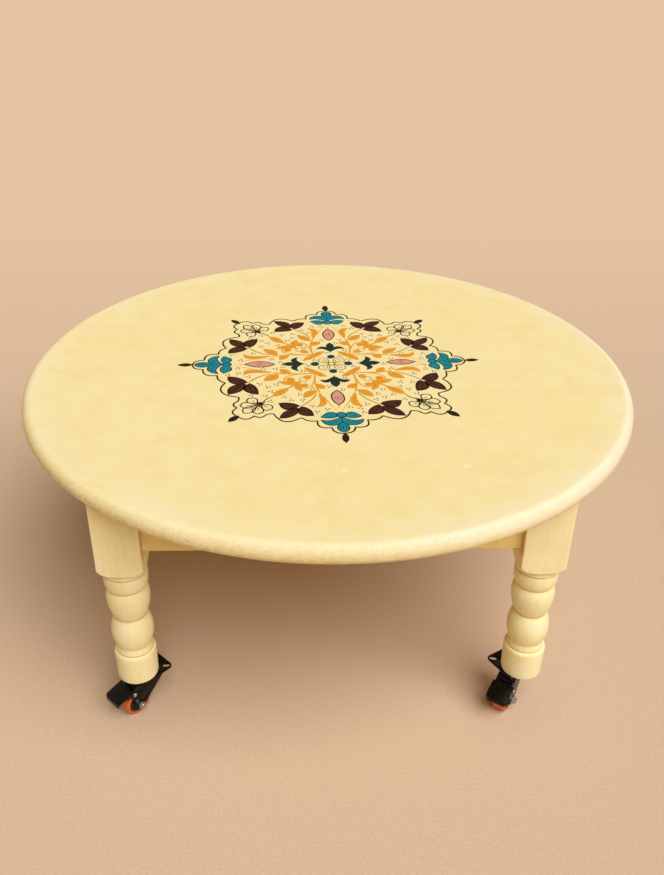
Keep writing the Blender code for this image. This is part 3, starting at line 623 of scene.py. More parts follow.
zinc, shader, place = new_finish("zinc_plate")
frost = speckle(place, 700.0, 3.0)
bloom = ranged(speckle(place, 160.0, 3.0), 0.55, 0.8, 0.0, 0.5)
silver = mixed(ranged(frost, 0.35, 0.7), ZINC_BRIGHT, ZINC_DULL)
dress(shader, mixed(bloom, silver, ZINC_BLOOM), ranged(frost, 0.3, 0.7, 0.24, 0.42))
shader.inputs["Metallic"].default_value = 1.0

for corner in CORNERS:
    low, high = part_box(f"top_screw_{corner}")
    seat = low.z + SCREW_HEAD_HEIGHT
    screw = round_screw(f"top_screw_{corner}", SCREW_RADIUS, SCREW_HEAD_RADIUS, SCREW_HEAD_HEIGHT,
                        high.z - seat)
    screw.transform(Matrix.Translation((*((low + high) / 2.0).xy, seat)))
    piece(f"cross_screw_{corner}", screw, zinc, "table", [f"top_screw_{corner}"])

# Round top: boards glued up and cut to a disc, with a full bullnose worked round its edge. It is
# painted cream, rubbed to a gritty pale along the rim, hazed beside the rim and chipped a little. The
# rim is also painted paler towards the right and on its upper curve as painted light, and a deeper
# ochre towards the left and on its underside as painted shade.
TOP_SEGMENTS = 240
TOP_EDGE_ROUND = 0.014
TOP_EDGE_BAND = 0.0015
RIM_WEAR_WIDTH = 0.017
RIM_FULL_WEAR = 0.007
RIM_RUB_DROP = 0.003
RIM_SHADE_DROP = 0.020
RIM_CURVE_START = 0.0004
RIM_CURVE_FULL = 0.004
RIM_STROKE = 0.5
HAZE_WIDTH = 0.060
HAZE_FULL = 0.008
HAZE_DROP = 0.005
HAZE_LEFT, HAZE_MIDDLE, HAZE_RIGHT = 0.70, 0.45, 0.95
CHIPS = ((0.0135, -0.290, 0.0065), (0.1678, -0.282, 0.0055), (0.2768, 0.1653, 0.0060))
TOP_STREAKS = 0.1
TOP_PALE = tint(249, 235, 188)
# Rim tones split by the light: this deeper cream goes on the rim's curve except towards its left end.
RIM_CREAM = tint(232, 210, 150)
RIM_RUBBED = tint(238, 225, 201)
TOP_RUBBED = tint(251, 240, 212)

low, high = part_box("tabletop")
TOP_SURFACE = high.z
TOP_RADIUS = high.x
thickness = high.z - low.z
lower_round = thickness - TOP_EDGE_ROUND - TOP_EDGE_BAND
profile = [(0.0, 0.0), (TOP_RADIUS - 2.0 * lower_round, 0.0)]
profile += arc((TOP_RADIUS - lower_round, lower_round), (lower_round, lower_round), -90.0, 0.0, 10)
profile += arc((TOP_RADIUS - TOP_EDGE_ROUND, thickness - TOP_EDGE_ROUND), (TOP_EDGE_ROUND, TOP_EDGE_ROUND),
               0.0, 90.0, 14)
profile += [(TOP_RADIUS - 1.4 * TOP_EDGE_ROUND, thickness), (TOP_RADIUS - 3.0 * TOP_EDGE_ROUND, thickness),
            (TOP_RADIUS * 0.6, thickness), (0.0, thickness)]
top_mesh = smooth_mesh("tabletop", turned(profile, TOP_SEGMENTS))
top_mesh.transform(Matrix.Translation((0.0, 0.0, low.z)))

top_paint, coat, place = cream_paint("cream_paint_top", (0.40, 1.0, 1.0), TOP_STREAKS, rubbed=TOP_PALE)
tree = top_paint.node_tree
flat_place = stretched(place, (1.0, 1.0, 0.0))
reach = node(tree, "VectorMath", {0: flat_place}, operation="LENGTH").outputs["Value"]
broken = ranged(speckle(place, 45.0, 5.0, 0.7), 0.3, 0.7, -0.006, 0.006)
rim = ranged(worked("ADD", reach, broken), TOP_RADIUS - RIM_WEAR_WIDTH, TOP_RADIUS - RIM_FULL_WEAR)
spot = axes(place)
# Painted shade on the rim's underside, rubbed pale on its upper curve.
rim_rub_and_shade = ranged(spot["Z"], TOP_SURFACE - RIM_SHADE_DROP, TOP_SURFACE - RIM_RUB_DROP, -0.45, 0.2)
# Painted light and shade across the top: the rim's wear is pushed darker towards the left and paler towards
# the right.
side_wear_and_light = worked("ADD", ranged(spot["X"], -TOP_RADIUS, 0.0, -0.3, 0.1),
                 ranged(spot["X"], 0.0, TOP_RADIUS, 0.0, 0.8))
round_rim = worked("ARCTAN2", spot["X"], worked("MULTIPLY", spot["Y"], -1.0))
round_rim = worked("MULTIPLY", round_rim, TOP_RADIUS * RIM_STROKE)
rim_place = node(tree, "CombineXYZ", {"X": round_rim, "Y": reach, "Z": spot["Z"]}).outputs["Vector"]
grit = ranged(speckle(rim_place, 330.0, 4.0, 0.7), 0.35, 0.65, -0.45, 0.45)
# The rim's wear here holds rub, painted shade and painted light together.
rim_wear_and_light = worked("MULTIPLY", rim, worked("ADD", worked("ADD", rim_rub_and_shade, side_wear_and_light), grit))
tree.links.new(worked("MINIMUM", worked("MULTIPLY", rim_wear_and_light, 0.7), 0.0), coat.inputs["Ridge and shade"])
# Painted light: the rim's curve takes a deeper cream except towards its left end, which keeps the paler
# cream of the flat; its rubbed tone is split the same way.
lit = worked("MULTIPLY", ranged(spot["X"], -TOP_RADIUS, 0.0),
             ranged(spot["Z"], TOP_SURFACE - RIM_CURVE_START, TOP_SURFACE - RIM_CURVE_FULL))
tree.links.new(mixed(lit, CREAM, RIM_CREAM), coat.inputs["Coat"])
bare = ranged(rim_wear_and_light, 0.0, 0.7, 0.0, 0.85)
sides = worked("ADD", ranged(spot["X"], -TOP_RADIUS, 0.0, HAZE_LEFT, HAZE_MIDDLE),
               ranged(spot["X"], 0.0, TOP_RADIUS, 0.0, HAZE_RIGHT - HAZE_MIDDLE))
haze = sides
for share in (ranged(reach, TOP_RADIUS - HAZE_WIDTH, TOP_RADIUS - HAZE_FULL),
              ranged(speckle(place, 16.0, 5.0, 0.7), 0.35, 0.62),
              ranged(speckle(place, 260.0, 3.0, 0.7), 0.3, 0.6, 0.5, 1.0),
              ranged(spot["Z"], TOP_SURFACE - HAZE_DROP, TOP_SURFACE)):
    haze = worked("MULTIPLY", haze, share)
bare = worked("MAXIMUM", bare, haze)
ragged = ranged(speckle(place, 150.0, 4.0, 0.7), 0.3, 0.7, -0.004, 0.004)
for x, y, radius in CHIPS:
    away = node(tree, "VectorMath", {0: flat_place, 1: (x, y, 0.0)}, operation="DISTANCE")
    chip = ranged(worked("ADD", away.outputs["Value"], ragged), radius, 0.0, 0.0, 0.9)
    bare = worked("MAXIMUM", bare, chip)
bare = mixed(bare, coat.outputs["Colour"], mixed(lit, TOP_RUBBED, RIM_RUBBED))
tree.links.new(bare, tree.nodes["Principled BSDF"].inputs["Base Color"])
piece("painted_top", top_mesh, top_paint, "table", ["tabletop"])

# Medallion: a traditional eight-pointed shamsa, painted by hand in the middle of the top in thin films
# of acrylic colour. One eighth is drawn here in millimetres from its middle, y towards the rear, and
# the rest follows by quarter turns and mirroring, with the slight wander of a hand.
MEDALLION_PLACE = (0.005, 0.008)
MEDALLION_TURN = 2.2
FILM = 0.10
LINE_RISE = 0.13
OVERLAP = 0.012
WANDER = 1.3
WANDER_LENGTH = 24.0
WANDER_SEED = 5
THIN = 0.22
ARM_REACH = 230.0
ARM_SLIPS = ((-1.0, 4.0), (0.0, -3.0), (3.0, -2.0), (5.0, 7.0),
             (-6.0, 5.0), (11.0, -8.0), (4.0, -3.0), (2.0, -6.0))
LEAF_TIPS = (0, 4)
DIAGONAL = 45.0
BLACK_BROWN = tint(30, 22, 14)
UMBER = tint(56, 26, 18)
UMBER_VEIN = tint(124, 82, 64)
TEAL = tint(16, 127, 139)
TEAL_PALE = tint(64, 156, 168)
TEAL_DEEP = tint(4, 46, 60)
PINK = tint(218, 152, 130)
OXBLOOD = tint(50, 22, 22)
BOTTLE_GREEN = tint(16, 40, 34)
NAVY = tint(14, 52, 66)
ORANGE = tint(232, 160, 50)
ORANGE_DEEP = tint(220, 138, 38)
ORANGE_VEIN = tint(190, 112, 30)
OLIVE = tint(178, 138, 54)
MIRROR = Matrix.Diagonal((-1.0, 1.0, 1.0, 1.0))


def curve_mesh(curve, knots, closed, sharp, fine=1.0):
    """Clean mesh of a curve through knots, rounded except at those kept sharp, finer at its ends."""
    spline = curve.splines.new("BEZIER")
    spline.bezier_points.add(len(knots) - 1)
    spline.use_cyclic_u = closed
    last = max(len(knots) - 1, 1)
    for index, (knot, spot) in enumerate(zip(spline.bezier_points, knots)):
        knot.co = (*spot, 0.0)
        handle = "VECTOR" if index in sharp else "AUTO"
        knot.handle_left_type = handle
        knot.handle_right_type = handle
        knot.radius = 1.0 if closed else 1.0 - (1.0 - fine) * abs(2.0 * index / last - 1.0) ** 2
    holder = bpy.data.objects.new("curve", curve)
    scene.collection.objects.link(holder)
    view = bpy.context.evaluated_depsgraph_get()
    drawn = bpy.data.meshes.new_from_object(holder.evaluated_get(view))
    bpy.data.objects.remove(holder, do_unlink=True)
    bpy.data.curves.remove(curve)
    body = bmesh.new()
    body.from_mesh(drawn)
    bmesh.ops.remove_doubles(body, verts=body.verts[:], dist=1e-4)
    bmesh.ops.recalc_face_normals(body, faces=body.faces[:])
    body.to_mesh(drawn)
    body.free()
    return drawn


def filled(knots, sharp=()):
    """Film of paint inside a closed outline."""
    curve = bpy.data.curves.new("outline", "CURVE")
    curve.dimensions = "2D"
    curve.fill_mode = "BOTH"
    curve.extrude = FILM
    curve.resolution_u = 6
    return curve_mesh(curve, knots, True, sharp)


def stroked(knots, width, closed=False, sharp=(), fine=0.4):
    """Brush line along knots, drawn out at its ends to a fine share of its width."""
    curve = bpy.data.curves.new("line", "CURVE")
    curve.dimensions = "3D"
    curve.bevel_depth = width / 2.0
    curve.bevel_resolution = 1
    curve.use_fill_caps = True
    curve.resolution_u = 5
    line = curve_mesh(curve, knots, closed, sharp, fine)
    line.transform(Matrix.Diagonal((1.0, 1.0, 2.0 * LINE_RISE / width, 1.0)))
    return line


def leaf(root, tip, width, bend=0.0, belly=0.45):
    """Knots round a leaf that bends to its left on the way to its tip; root and tip are sharp."""
    root = Vector(root)
    along = Vector(tip) - root
    across = Vector((-along.y, along.x)).normalized()
    edges = []
    for side, shares in ((1.0, (0.16, 0.42, 0.72)), (-1.0, (0.72, 0.42, 0.16))):
        for share in shares:
            spine = root + along * share + across * (4.0 * share * (1.0 - share) * bend * along.length)
            fullness = math.sin(math.pi * share ** (math.log(0.5) / math.log(belly))) ** 0.8
            edges.append(spine + across * (side * fullness * width / 2.0))
    return [root, *edges[:3], Vector(tip), *edges[3:]]


def vein(root, tip, bend, shift=0.0):
    """Knots along a leaf's middle, or beside it by a share of its length."""
    root = Vector(root)
    along = Vector(tip) - root
    across = Vector((-along.y, along.x)) * (bend + shift)
    return [root + along * share + across * (4.0 * share * (1.0 - share)) for share in (0.2, 0.5, 0.8)]


def ring_of(middle, across, up):
    """Knots round an oval."""
    return [(middle[0] + x * across, middle[1] + y * up) for x, y in ((1, 0), (0, 1), (-1, 0), (0, -1))]


def bowed(start, end, bulge, steps=6):
    """Knots along a shallow bow that swells to the left of its way."""
    start = Vector(start)
    along = Vector(end) - start
    across = Vector((-along.y, along.x)).normalized()
    shares = [step / steps for step in range(steps + 1)]
    return [start + along * share + across * (4.0 * bulge * share * (1.0 - share)) for share in shares]


def paint(film, shape, mirrored=True, lift=0.0, turn=0.0):
    """Lay a shape into a film at each quarter turn, with its mirror image where it has one."""
    for quarter in range(4):
        for flip in (Matrix.Identity(4), MIRROR)[:1 + mirrored]:
            copy = shape.copy()
            angle = math.radians(turn + 90.0 * quarter)
            over = lift + OVERLAP * (flip is MIRROR)
            copy.transform(Matrix.Translation((0.0, 0.0, over)) @ Matrix.Rotation(angle, 4, "Z") @ flip)
            if flip is MIRROR:
                copy.flip_normals()
            film.from_mesh(copy)
            bpy.data.meshes.remove(copy)
    bpy.data.meshes.remove(shape)


def ornament(name, colour, second):
    """Acrylic colour laid on with a small brush, streaked by a second tone and thin in places."""
    material, shader, place = new_finish(name)
    streak = speckle(stretched(place, (1.0, 0.35, 1.0)), 420.0, 4.0, 0.6)
    pool = speckle(place, 130.0, 3.0)
    worn = speckle(place, 900.0, 3.0, 0.6)
    coat = mixed(ranged(streak, 0.45, 0.70, 0.0, 0.55), colour, second)
    coat = mixed(ranged(pool, 0.55, 0.75, 0.0, 0.35), coat, second)
    coat = mixed(ranged(worn, 0.66, 0.82, 0.0, THIN), coat, CREAM)
    dress(shader, coat, ranged(streak, 0.3, 0.7, 0.5, 0.66), streak, 0.2, 0.0002)
    shader.inputs["Specular IOR Level"].default_value = 0.08
    return material


laid_spots = []
noise.seed_set(WANDER_SEED)


def slip(spot):
    """How far the free hand strayed at a spot, blended between the slips of the eight arms."""
    turns = math.atan2(spot.y, spot.x) / (2.0 * math.pi) % 1.0 * len(ARM_SLIPS)
    before = int(turns) % len(ARM_SLIPS)
    after = (before + 1) % len(ARM_SLIPS)
    share = (1.0 - math.cos(math.pi * (turns % 1.0))) / 2.0
    strayed = Vector(ARM_SLIPS[before]).lerp(Vector(ARM_SLIPS[after]), share)
    return strayed * (spot.length / ARM_REACH)


def lay(name, film, finish):
    """Set a finished film on the top, with the wander of a hand, and keep where its paint lies."""
    laid_spots.extend(tuple(point.co) for point in film.verts)
    for point in film.verts:
        drift = noise.noise_vector(Vector((point.co.x, point.co.y, 0.0)) / WANDER_LENGTH)
        point.co.xy = point.co.xy + drift.xy * WANDER + slip(point.co.xy)
    moved(film, Matrix.Translation((*MEDALLION_PLACE, TOP_SURFACE))
          @ Matrix.Rotation(math.radians(MEDALLION_TURN), 4, "Z") @ Matrix.Scale(0.001, 4))
    piece(name, smooth_mesh(name, film, sharp=30.0), finish, "table")


# Medallion's border: a scalloped black-brown line in shallow bows that are drawn one by one, with a
# pointed almond at each of its eight tips.
BORDER_WIDTH = 2.7
BORDER_BOWS = (((0.0, 206.0), (16.0, 190.0), 5.5), ((16.0, 190.0), (35.0, 171.0), 9.5),
               ((35.0, 171.0), (57.0, 161.0), 4.0), ((57.0, 161.0), (98.0, 146.5), 15.5),
               ((98.0, 146.5), (109.0, 148.0), -0.6), ((109.0, 148.0), (127.0, 150.0), 6.0),
               ((127.0, 150.0), (150.0, 150.0), 7.5))
POINTS = ((205.0, 230.0, 10.5, 0.0), (209.0, 232.0, 11.0, DIAGONAL))

film = bmesh.new()
for start, end, bulge in BORDER_BOWS:
    paint(film, stroked(bowed(start, end, bulge), BORDER_WIDTH, fine=0.9))
for start, end, width, turn in POINTS:
    paint(film, filled(leaf((0.0, start), (0.0, end), width, belly=0.5), LEAF_TIPS), False, turn=turn)
lay("medallion_border", film, ornament("black_brown_paint", BLACK_BROWN, tint(58, 46, 32)))

# Medallion's arabesque: orange stems, paisley and pear leaves and buds that grow from the middle
# towards the points, veined in a deeper orange, with fine olive tendrils between them.
PAISLEY = [(26, 90), (21, 103), (17.5, 115), (18, 125), (23.5, 131), (35, 133), (29.5, 124.5), (27.5, 114),
           (28, 102)]
PAISLEY_TIPS = (0, 5)
PAISLEY_VEIN = [(25, 101), (22.6, 113), (23.5, 123.5)]
STEM_LEAVES = (((30, 83), (52.5, 106), 15.5, -0.05, 0.46), ((31.5, 64), (15.5, 79), 13.5, -0.06, 0.52),
               ((27.5, 22), (10, 43), 10.5, -0.12, 0.5))
CROWN_LEAF = ((0, 101), (0, 139), 14.5, 0.0, 0.56)
FLAME_LEAF = ((0, 77), (24, 99), 12.0, 0.15, 0.52)
STEMS = (([(26, 23), (29, 34), (31, 48), (31.5, 61), (29.5, 77), (26.5, 90)], 3.2, 0.8, True, 0.0),
         ([(31, 43), (33.5, 57), (38.5, 69.5), (46.5, 76), (54, 73.5), (55.5, 67)], 2.4, 0.6, True, 0.0),
         ([(0, 72), (0, 88), (0, 106)], 6.0, 0.4, False, DIAGONAL),
         ([(19.5, 105), (13, 125), (3, 146)], 1.7, 0.4, True, 0.0))
TENDRILS = (([(31, 95), (38, 108), (47, 119), (57, 128)], 2.4, 0.8, True, 0.0),
            ([(0, 34), (0, 46), (0, 58)], 1.8, 0.7, False, DIAGONAL),
            ([(0, 137), (1.5, 148), (0, 160)], 3.2, 0.7, False, DIAGONAL),
            ([(1, 62), (6, 68), (4, 76)], 1.7, 0.7, True, DIAGONAL),
            ([(0, 138), (1, 134), (0, 129)], 1.4, 0.7, False, 0.0))
BERRY = (48.5, 67.5)
CALYX = (0.0, 60.0)
VEIN_WIDTH = 1.5

film = bmesh.new()
veins = bmesh.new()
for row, (leaves, turn, mirrored) in enumerate(((STEM_LEAVES, 0.0, True), ([FLAME_LEAF], DIAGONAL, True),
                                                ([CROWN_LEAF], DIAGONAL, False))):
    for index, (root, tip, width, bend, belly) in enumerate(leaves):
        lift = 0.02 + 0.005 * (row + index)
        paint(film, filled(leaf(root, tip, width, bend, belly), LEAF_TIPS), mirrored, lift, turn)
        paint(veins, stroked(vein(root, tip, bend), VEIN_WIDTH), mirrored, lift + 0.03, turn)
paint(film, filled(PAISLEY, PAISLEY_TIPS), lift=0.04)
paint(veins, stroked(PAISLEY_VEIN, VEIN_WIDTH), lift=0.07)
for knots, width, fine, mirrored, turn in STEMS:
    paint(film, stroked(knots, width, fine=fine), mirrored, turn=turn)
paint(film, filled(ring_of(BERRY, 6.0, 6.2)), lift=0.03)
paint(film, filled(ring_of(CALYX, 6.4, 6.6)), False, lift=0.03, turn=DIAGONAL)
paint(veins, stroked(ring_of(BERRY, 3.0, 3.2), 1.3, True), lift=0.06)
lay("medallion_arabesque", film, ornament("orange_paint", ORANGE, ORANGE_DEEP))
lay("medallion_leaf_veins", veins, ornament("deep_orange_paint", ORANGE_VEIN, ORANGE_DEEP))

film = bmesh.new()
for knots, width, fine, mirrored, turn in TENDRILS:
    paint(film, stroked(knots, width, fine=fine), mirrored, turn=turn)
lay("medallion_tendrils", film, ornament("olive_paint", OLIVE, tint(204, 150, 56)))

# Medallion's palmettes: teal lilies at the four main points, shaded in a paler teal, with the petals
# parted by darker brush lines.
WING = [(0, 162), (5, 166), (12, 170), (20, 172), (29.5, 169.5), (26.5, 177.5), (20, 183), (12, 184),
        (5, 181.5), (0, 176)]
WING_TIPS = (0, 4, 9)
LOBE = [(6, 160), (7, 153.5), (12.5, 149.5), (19, 150.5), (23.5, 155.5), (28.5, 161.5), (22, 164.5),
        (15, 165), (9, 163.5)]
LOBE_TIP = (5,)
BUD = [(0, 203), (4.6, 200.5), (7.8, 195), (8.1, 189.5), (6.2, 183), (3, 177), (0, 174)]
BUD_TIP = (0,)
KNOB = ring_of((0.0, 156.5), 6.2, 6.8)
PETAL_LINES = (([(0, 199), (0.6, 192), (0, 184)], 1.7, False, 0.07),
               ([(3.4, 197), (4.2, 191), (2.8, 184)], 1.2, True, 0.07),
               ([(3, 172), (10, 176), (18, 178), (27.5, 172.5)], 1.3, True, 0.06),
               ([(10, 156), (13, 160), (18.5, 160), (21, 156.5)], 1.2, True, 0.06))

film = bmesh.new()
paint(film, filled(BUD + [(-x, y) for x, y in BUD[-2:0:-1]], BUD_TIP), False, lift=0.01)
paint(film, filled(WING, WING_TIPS), lift=0.02)
paint(film, filled(LOBE, LOBE_TIP), lift=0.03)
paint(film, filled(KNOB), False, lift=0.04)
lay("medallion_palmettes", film, ornament("teal_paint", TEAL, TEAL_PALE))

film = bmesh.new()
paint(film, stroked(WING, 2.0, True, WING_TIPS), lift=0.05)
paint(film, stroked(LOBE, 2.1, True, LOBE_TIP), lift=0.06)
paint(film, stroked(BUD[:5], 2.0, sharp=BUD_TIP, fine=0.9), lift=0.07)
paint(film, stroked(KNOB, 2.4, True), False, lift=0.08)
for knots, width, mirrored, lift in PETAL_LINES:
    paint(film, stroked(knots, width), mirrored, lift)
lay("medallion_petal_lines", film, ornament("deep_teal_paint", TEAL_DEEP, tint(10, 74, 90)))

# Medallion's almonds: pink buds below the palmettes, each outlined in ox-blood with a fine brush and
# veined in the same colour.
ALMOND = leaf((0.0, 85.0), (0.0, 130.0), 18.0, belly=0.5)
ALMOND_LINES = (([(0, 98), (0.6, 108), (0, 118)], 1.5, False),
                ([(3.6, 102), (4.2, 108), (3.4, 114)], 1.2, True))

film = bmesh.new()
paint(film, filled(ALMOND, LEAF_TIPS), False)
lay("medallion_almonds", film, ornament("pink_paint", PINK, tint(226, 172, 150)))

film = bmesh.new()
paint(film, stroked(ALMOND, 2.4, True, LEAF_TIPS), False, lift=0.03)
for knots, width, mirrored in ALMOND_LINES:
    paint(film, stroked(knots, width), mirrored, lift=0.03)
lay("medallion_almond_lines", film, ornament("oxblood_paint", OXBLOOD, tint(92, 44, 40)))

# Medallion's trefoils and dots: bottle-green lilies of a tall petal and two sepals stand round the
# middle, and below each of them is a navy dot.
SEPAL = [(1, 50), (6, 58), (12, 61.5), (18.5, 59), (23, 51.5), (15, 53), (8, 49.5), (2, 43)]
SEPAL_TIPS = (0, 4, 7)
TALL_PETAL = leaf((0.0, 37.5), (0.0, 76.0), 13.5, belly=0.66)
DOT = ring_of((0.0, 25.0), 6.6, 6.6)

film = bmesh.new()
paint(film, filled(SEPAL, SEPAL_TIPS), lift=0.01)
paint(film, filled(TALL_PETAL, LEAF_TIPS), False, lift=0.02)
lay("medallion_trefoils", film, ornament("green_paint", BOTTLE_GREEN, tint(46, 70, 60)))

film = bmesh.new()
paint(film, filled(DOT), False)
lay("medallion_dots", film, ornament("navy_paint", NAVY, tint(44, 92, 112)))

# Medallion's sprigs: three umber leaves on each side of the main points, each with a pair of veins
# in a paler brown.
SPRIG = (((57.0, 128.5), (38.5, 157.0), 20.5, -0.13), ((60.5, 132.0), (90.5, 160.5), 18.5, 0.05),
         ((58.0, 126.5), (90.5, 117.0), 21.0, 0.17))
SPRIG_VEIN_WIDTH = 1.1
SPRIG_VEIN_SHIFTS = (-0.1, 0.1)

film = bmesh.new()
veins = bmesh.new()
for root, tip, width, bend in SPRIG:
    paint(film, filled(leaf(root, tip, width, bend, 0.48), LEAF_TIPS))
    for shift in SPRIG_VEIN_SHIFTS:
        paint(veins, stroked(vein(root, tip, bend, shift), SPRIG_VEIN_WIDTH), lift=0.03)
lay("medallion_sprigs", film, ornament("umber_paint", UMBER, tint(84, 46, 36)))
lay("medallion_veins", veins, ornament("pale_umber_paint", UMBER_VEIN, UMBER))

# Medallion's flowers: five-petalled flowers in fine black line at the diagonal points, left unfilled,
# and a four-petalled rosette in olive line round a pale yellow middle.
FLOWER = Vector((0.0, 168.0))
FLOWER_EYE = ring_of((0.0, 166.0), 4.8, 5.4)
FLOWER_STALK = [(0, 166), (-2, 160), (0, 154)]
PETALS = ((40.0, 27.0), (-40.0, 27.0), (98.0, 23.0), (-98.0, 23.0), (0.0, 32.0))
PETAL_ROOT = 4.0
PETAL_WIDTH = 16.0
ROSETTE = ((4.5, 25.5, 17.0, 1.6), (9.0, 19.0, 6.5, 1.1))
ROSETTE_ROOT = (0,)
HEART_RING = 5.0
HEART_RADIUS = 4.2

film = bmesh.new()
for angle, length in PETALS:
    way = Vector((math.sin(math.radians(angle)), math.cos(math.radians(angle))))
    root = FLOWER + way * PETAL_ROOT
    petal = leaf(root, FLOWER + way * length, PETAL_WIDTH, belly=0.58)
    spine = [root + way * length * share for share in (0.12, 0.3, 0.5)]
    paint(film, stroked(petal, 2.1, True, LEAF_TIPS), False, turn=DIAGONAL)
    paint(film, stroked(spine, 1.3), False, turn=DIAGONAL)
paint(film, filled(FLOWER_EYE), False, turn=DIAGONAL)
paint(film, stroked(FLOWER_STALK, 2.2), False, turn=DIAGONAL)
lay("medallion_flowers", film, ornament("flower_line_paint", BLACK_BROWN, tint(74, 66, 46)))

film = bmesh.new()
for start, end, across, width in ROSETTE:
    petal = leaf((0.0, start), (0.0, end), across, belly=0.62)
    paint(film, stroked(petal, width, True, ROSETTE_ROOT), False, turn=DIAGONAL)
paint(film, stroked(ring_of((0.0, 0.0), HEART_RING, HEART_RING), 1.9, True), False)
lay("medallion_rosette", film, ornament("dull_olive_paint", tint(128, 104, 50), OLIVE))

film = bmesh.new()
heart = filled(ring_of((0.0, 0.0), HEART_RADIUS, HEART_RADIUS))
film.from_mesh(heart)
bpy.data.meshes.remove(heart)
lay("medallion_heart", film, ornament("straw_paint", tint(246, 222, 116), tint(250, 234, 160)))

# Medallion's stipple: groups of three tiny black-brown touches that fill the bare ground between the
# other motifs.
STIPPLE_SEED = 11
STIPPLE_TRIES = 6000
STIPPLE_GROUPS = 120
STIPPLE_ROOM = 5.0
STIPPLE_SPACING = 13.0
STIPPLE_REACH = 160.0
TOUCH_RADIUS = 1.55
TOUCH_TOP = 0.6 * TOUCH_RADIUS
TOUCH_SPREAD = 2.9

random.seed(STIPPLE_SEED)
laid = kdtree.KDTree(len(laid_spots))
for index, (x, y, _) in enumerate(laid_spots):
    laid.insert((x, y, 0.0), index)
laid.balance()
groups = []
for _ in range(STIPPLE_TRIES):
    spot = Vector([random.uniform(-STIPPLE_REACH, STIPPLE_REACH) for _ in range(2)])
    clear = spot.length < STIPPLE_REACH and laid.find((*spot, 0.0))[2] > STIPPLE_ROOM
    if clear and all((spot - other).length > STIPPLE_SPACING for other in groups):
        groups.append(spot)
film = bmesh.new()
for spot in groups[:STIPPLE_GROUPS]:
    lean = random.uniform(0.0, 2.0 * math.pi)
    for third in range(3):
        angle = lean + third * 2.0 * math.pi / 3.0
        at = spot + TOUCH_SPREAD * Vector((math.cos(angle), math.sin(angle)))
        bmesh.ops.create_cone(film, cap_ends=True, segments=8, radius1=TOUCH_RADIUS, radius2=TOUCH_TOP,
                              depth=LINE_RISE, matrix=Matrix.Translation((*at, LINE_RISE / 4.0)))
lay("medallion_stipple", film, bpy.data.materials["black_brown_paint"])

# Caster plates: square steel plates punched with a slot at each corner, black coated, set cornerwise
# under the feet so that two slots take screws into the foot and two stand clear inside.
PLATE_SIDE = 0.056
PLATE_CORNER = 0.006
SLOT_REACH = 0.0295
SLOT_WIDTH = 0.0062
SLOT_LENGTH = 0.0105
PLATE_TWISTS = (0.0, -14.0, 5.0, -4.0)
KINGPIN_RADIUS = 0.004
KINGPIN_FLARE = 0.002
RUNNING_GAP = 0.0003
SHEET_ARRIS = 0.0004
COATING = tint(4, 4, 5)
COATING_DUST = tint(28, 27, 26)
PLATE_BOTTOM, PLATE_TOP = [each.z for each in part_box("caster_plate_front_left")]
WAYS = ((1.0, 0.0), (0.0, 1.0), (-1.0, 0.0), (0.0, -1.0))


def slab(discs, low, high, across="Z", segments=40):
    """Body stretched tight round discs (a, b, radius) in the XY or XZ plane, from low to high across it."""
    body = bmesh.new()
    for a, b, radius in discs:
        if radius:
            bmesh.ops.create_circle(body, segments=segments, radius=radius,
                                    matrix=Matrix.Translation((a, b, low)))
        else:
            body.verts.new((a, b, low))
    for point in body.verts[:]:
        body.verts.new((point.co.x, point.co.y, high))
    bmesh.ops.delete(body, geom=body.edges[:], context="EDGES_FACES")
    hull = bmesh.ops.convex_hull(body, input=body.verts[:])
    inside = {each for each in hull["geom_interior"] if isinstance(each, bmesh.types.BMVert)}
    bmesh.ops.delete(body, geom=list(inside), context="VERTS")
    bmesh.ops.dissolve_limit(body, angle_limit=math.radians(0.5), verts=body.verts[:], edges=body.edges[:])
    if across == "Y":
        moved(body, Matrix(((1, 0, 0, 0), (0, 0, 1, 0), (0, 1, 0, 0), (0, 0, 0, 1))))
    bmesh.ops.recalc_face_normals(body, faces=body.faces[:])
    return body


coated_steel, shader, place = new_finish("black_coated_steel")
dust = speckle(place, 90.0, 4.0, 0.6)
dress(shader, mixed(ranged(dust, 0.45, 0.8, 0.0, 0.2), COATING, COATING_DUST),
      ranged(dust, 0.3, 0.7, 0.20, 0.36), speckle(place, 1400.0, 2.0), 0.12, 0.0002)
shader.inputs["Specular IOR Level"].default_value = 0.2

corner_reach = PLATE_SIDE / math.sqrt(2.0) - PLATE_CORNER * math.sqrt(2.0)
plate = slab([(corner_reach * x, corner_reach * y, PLATE_CORNER) for x, y in WAYS], PLATE_BOTTOM, PLATE_TOP)
ends = [SLOT_REACH + side * (SLOT_LENGTH - SLOT_WIDTH) / 2.0 for side in (-1.0, 1.0)]
cuts = [slab([(end * x, end * y, SLOT_WIDTH / 2.0) for end in ends], 0.0, 2.0 * PLATE_TOP, segments=24)
        for x, y in WAYS]
hole = KINGPIN_RADIUS + RUNNING_GAP
cuts.append(turned([(0.0, 0.0), (hole, 0.0), (hole, PLATE_BOTTOM), (hole + KINGPIN_FLARE, PLATE_TOP),
                    (hole + KINGPIN_FLARE, 2.0 * PLATE_TOP), (0.0, 2.0 * PLATE_TOP)], 40))
plate_mesh = carved("caster_plate", plate, *[("DIFFERENCE", cut) for cut in cuts], arris=SHEET_ARRIS)
swivels = {corner: Vector(joints[f"swivel_{corner}"]["pos_m"]) for corner in CORNERS}
seats = {}
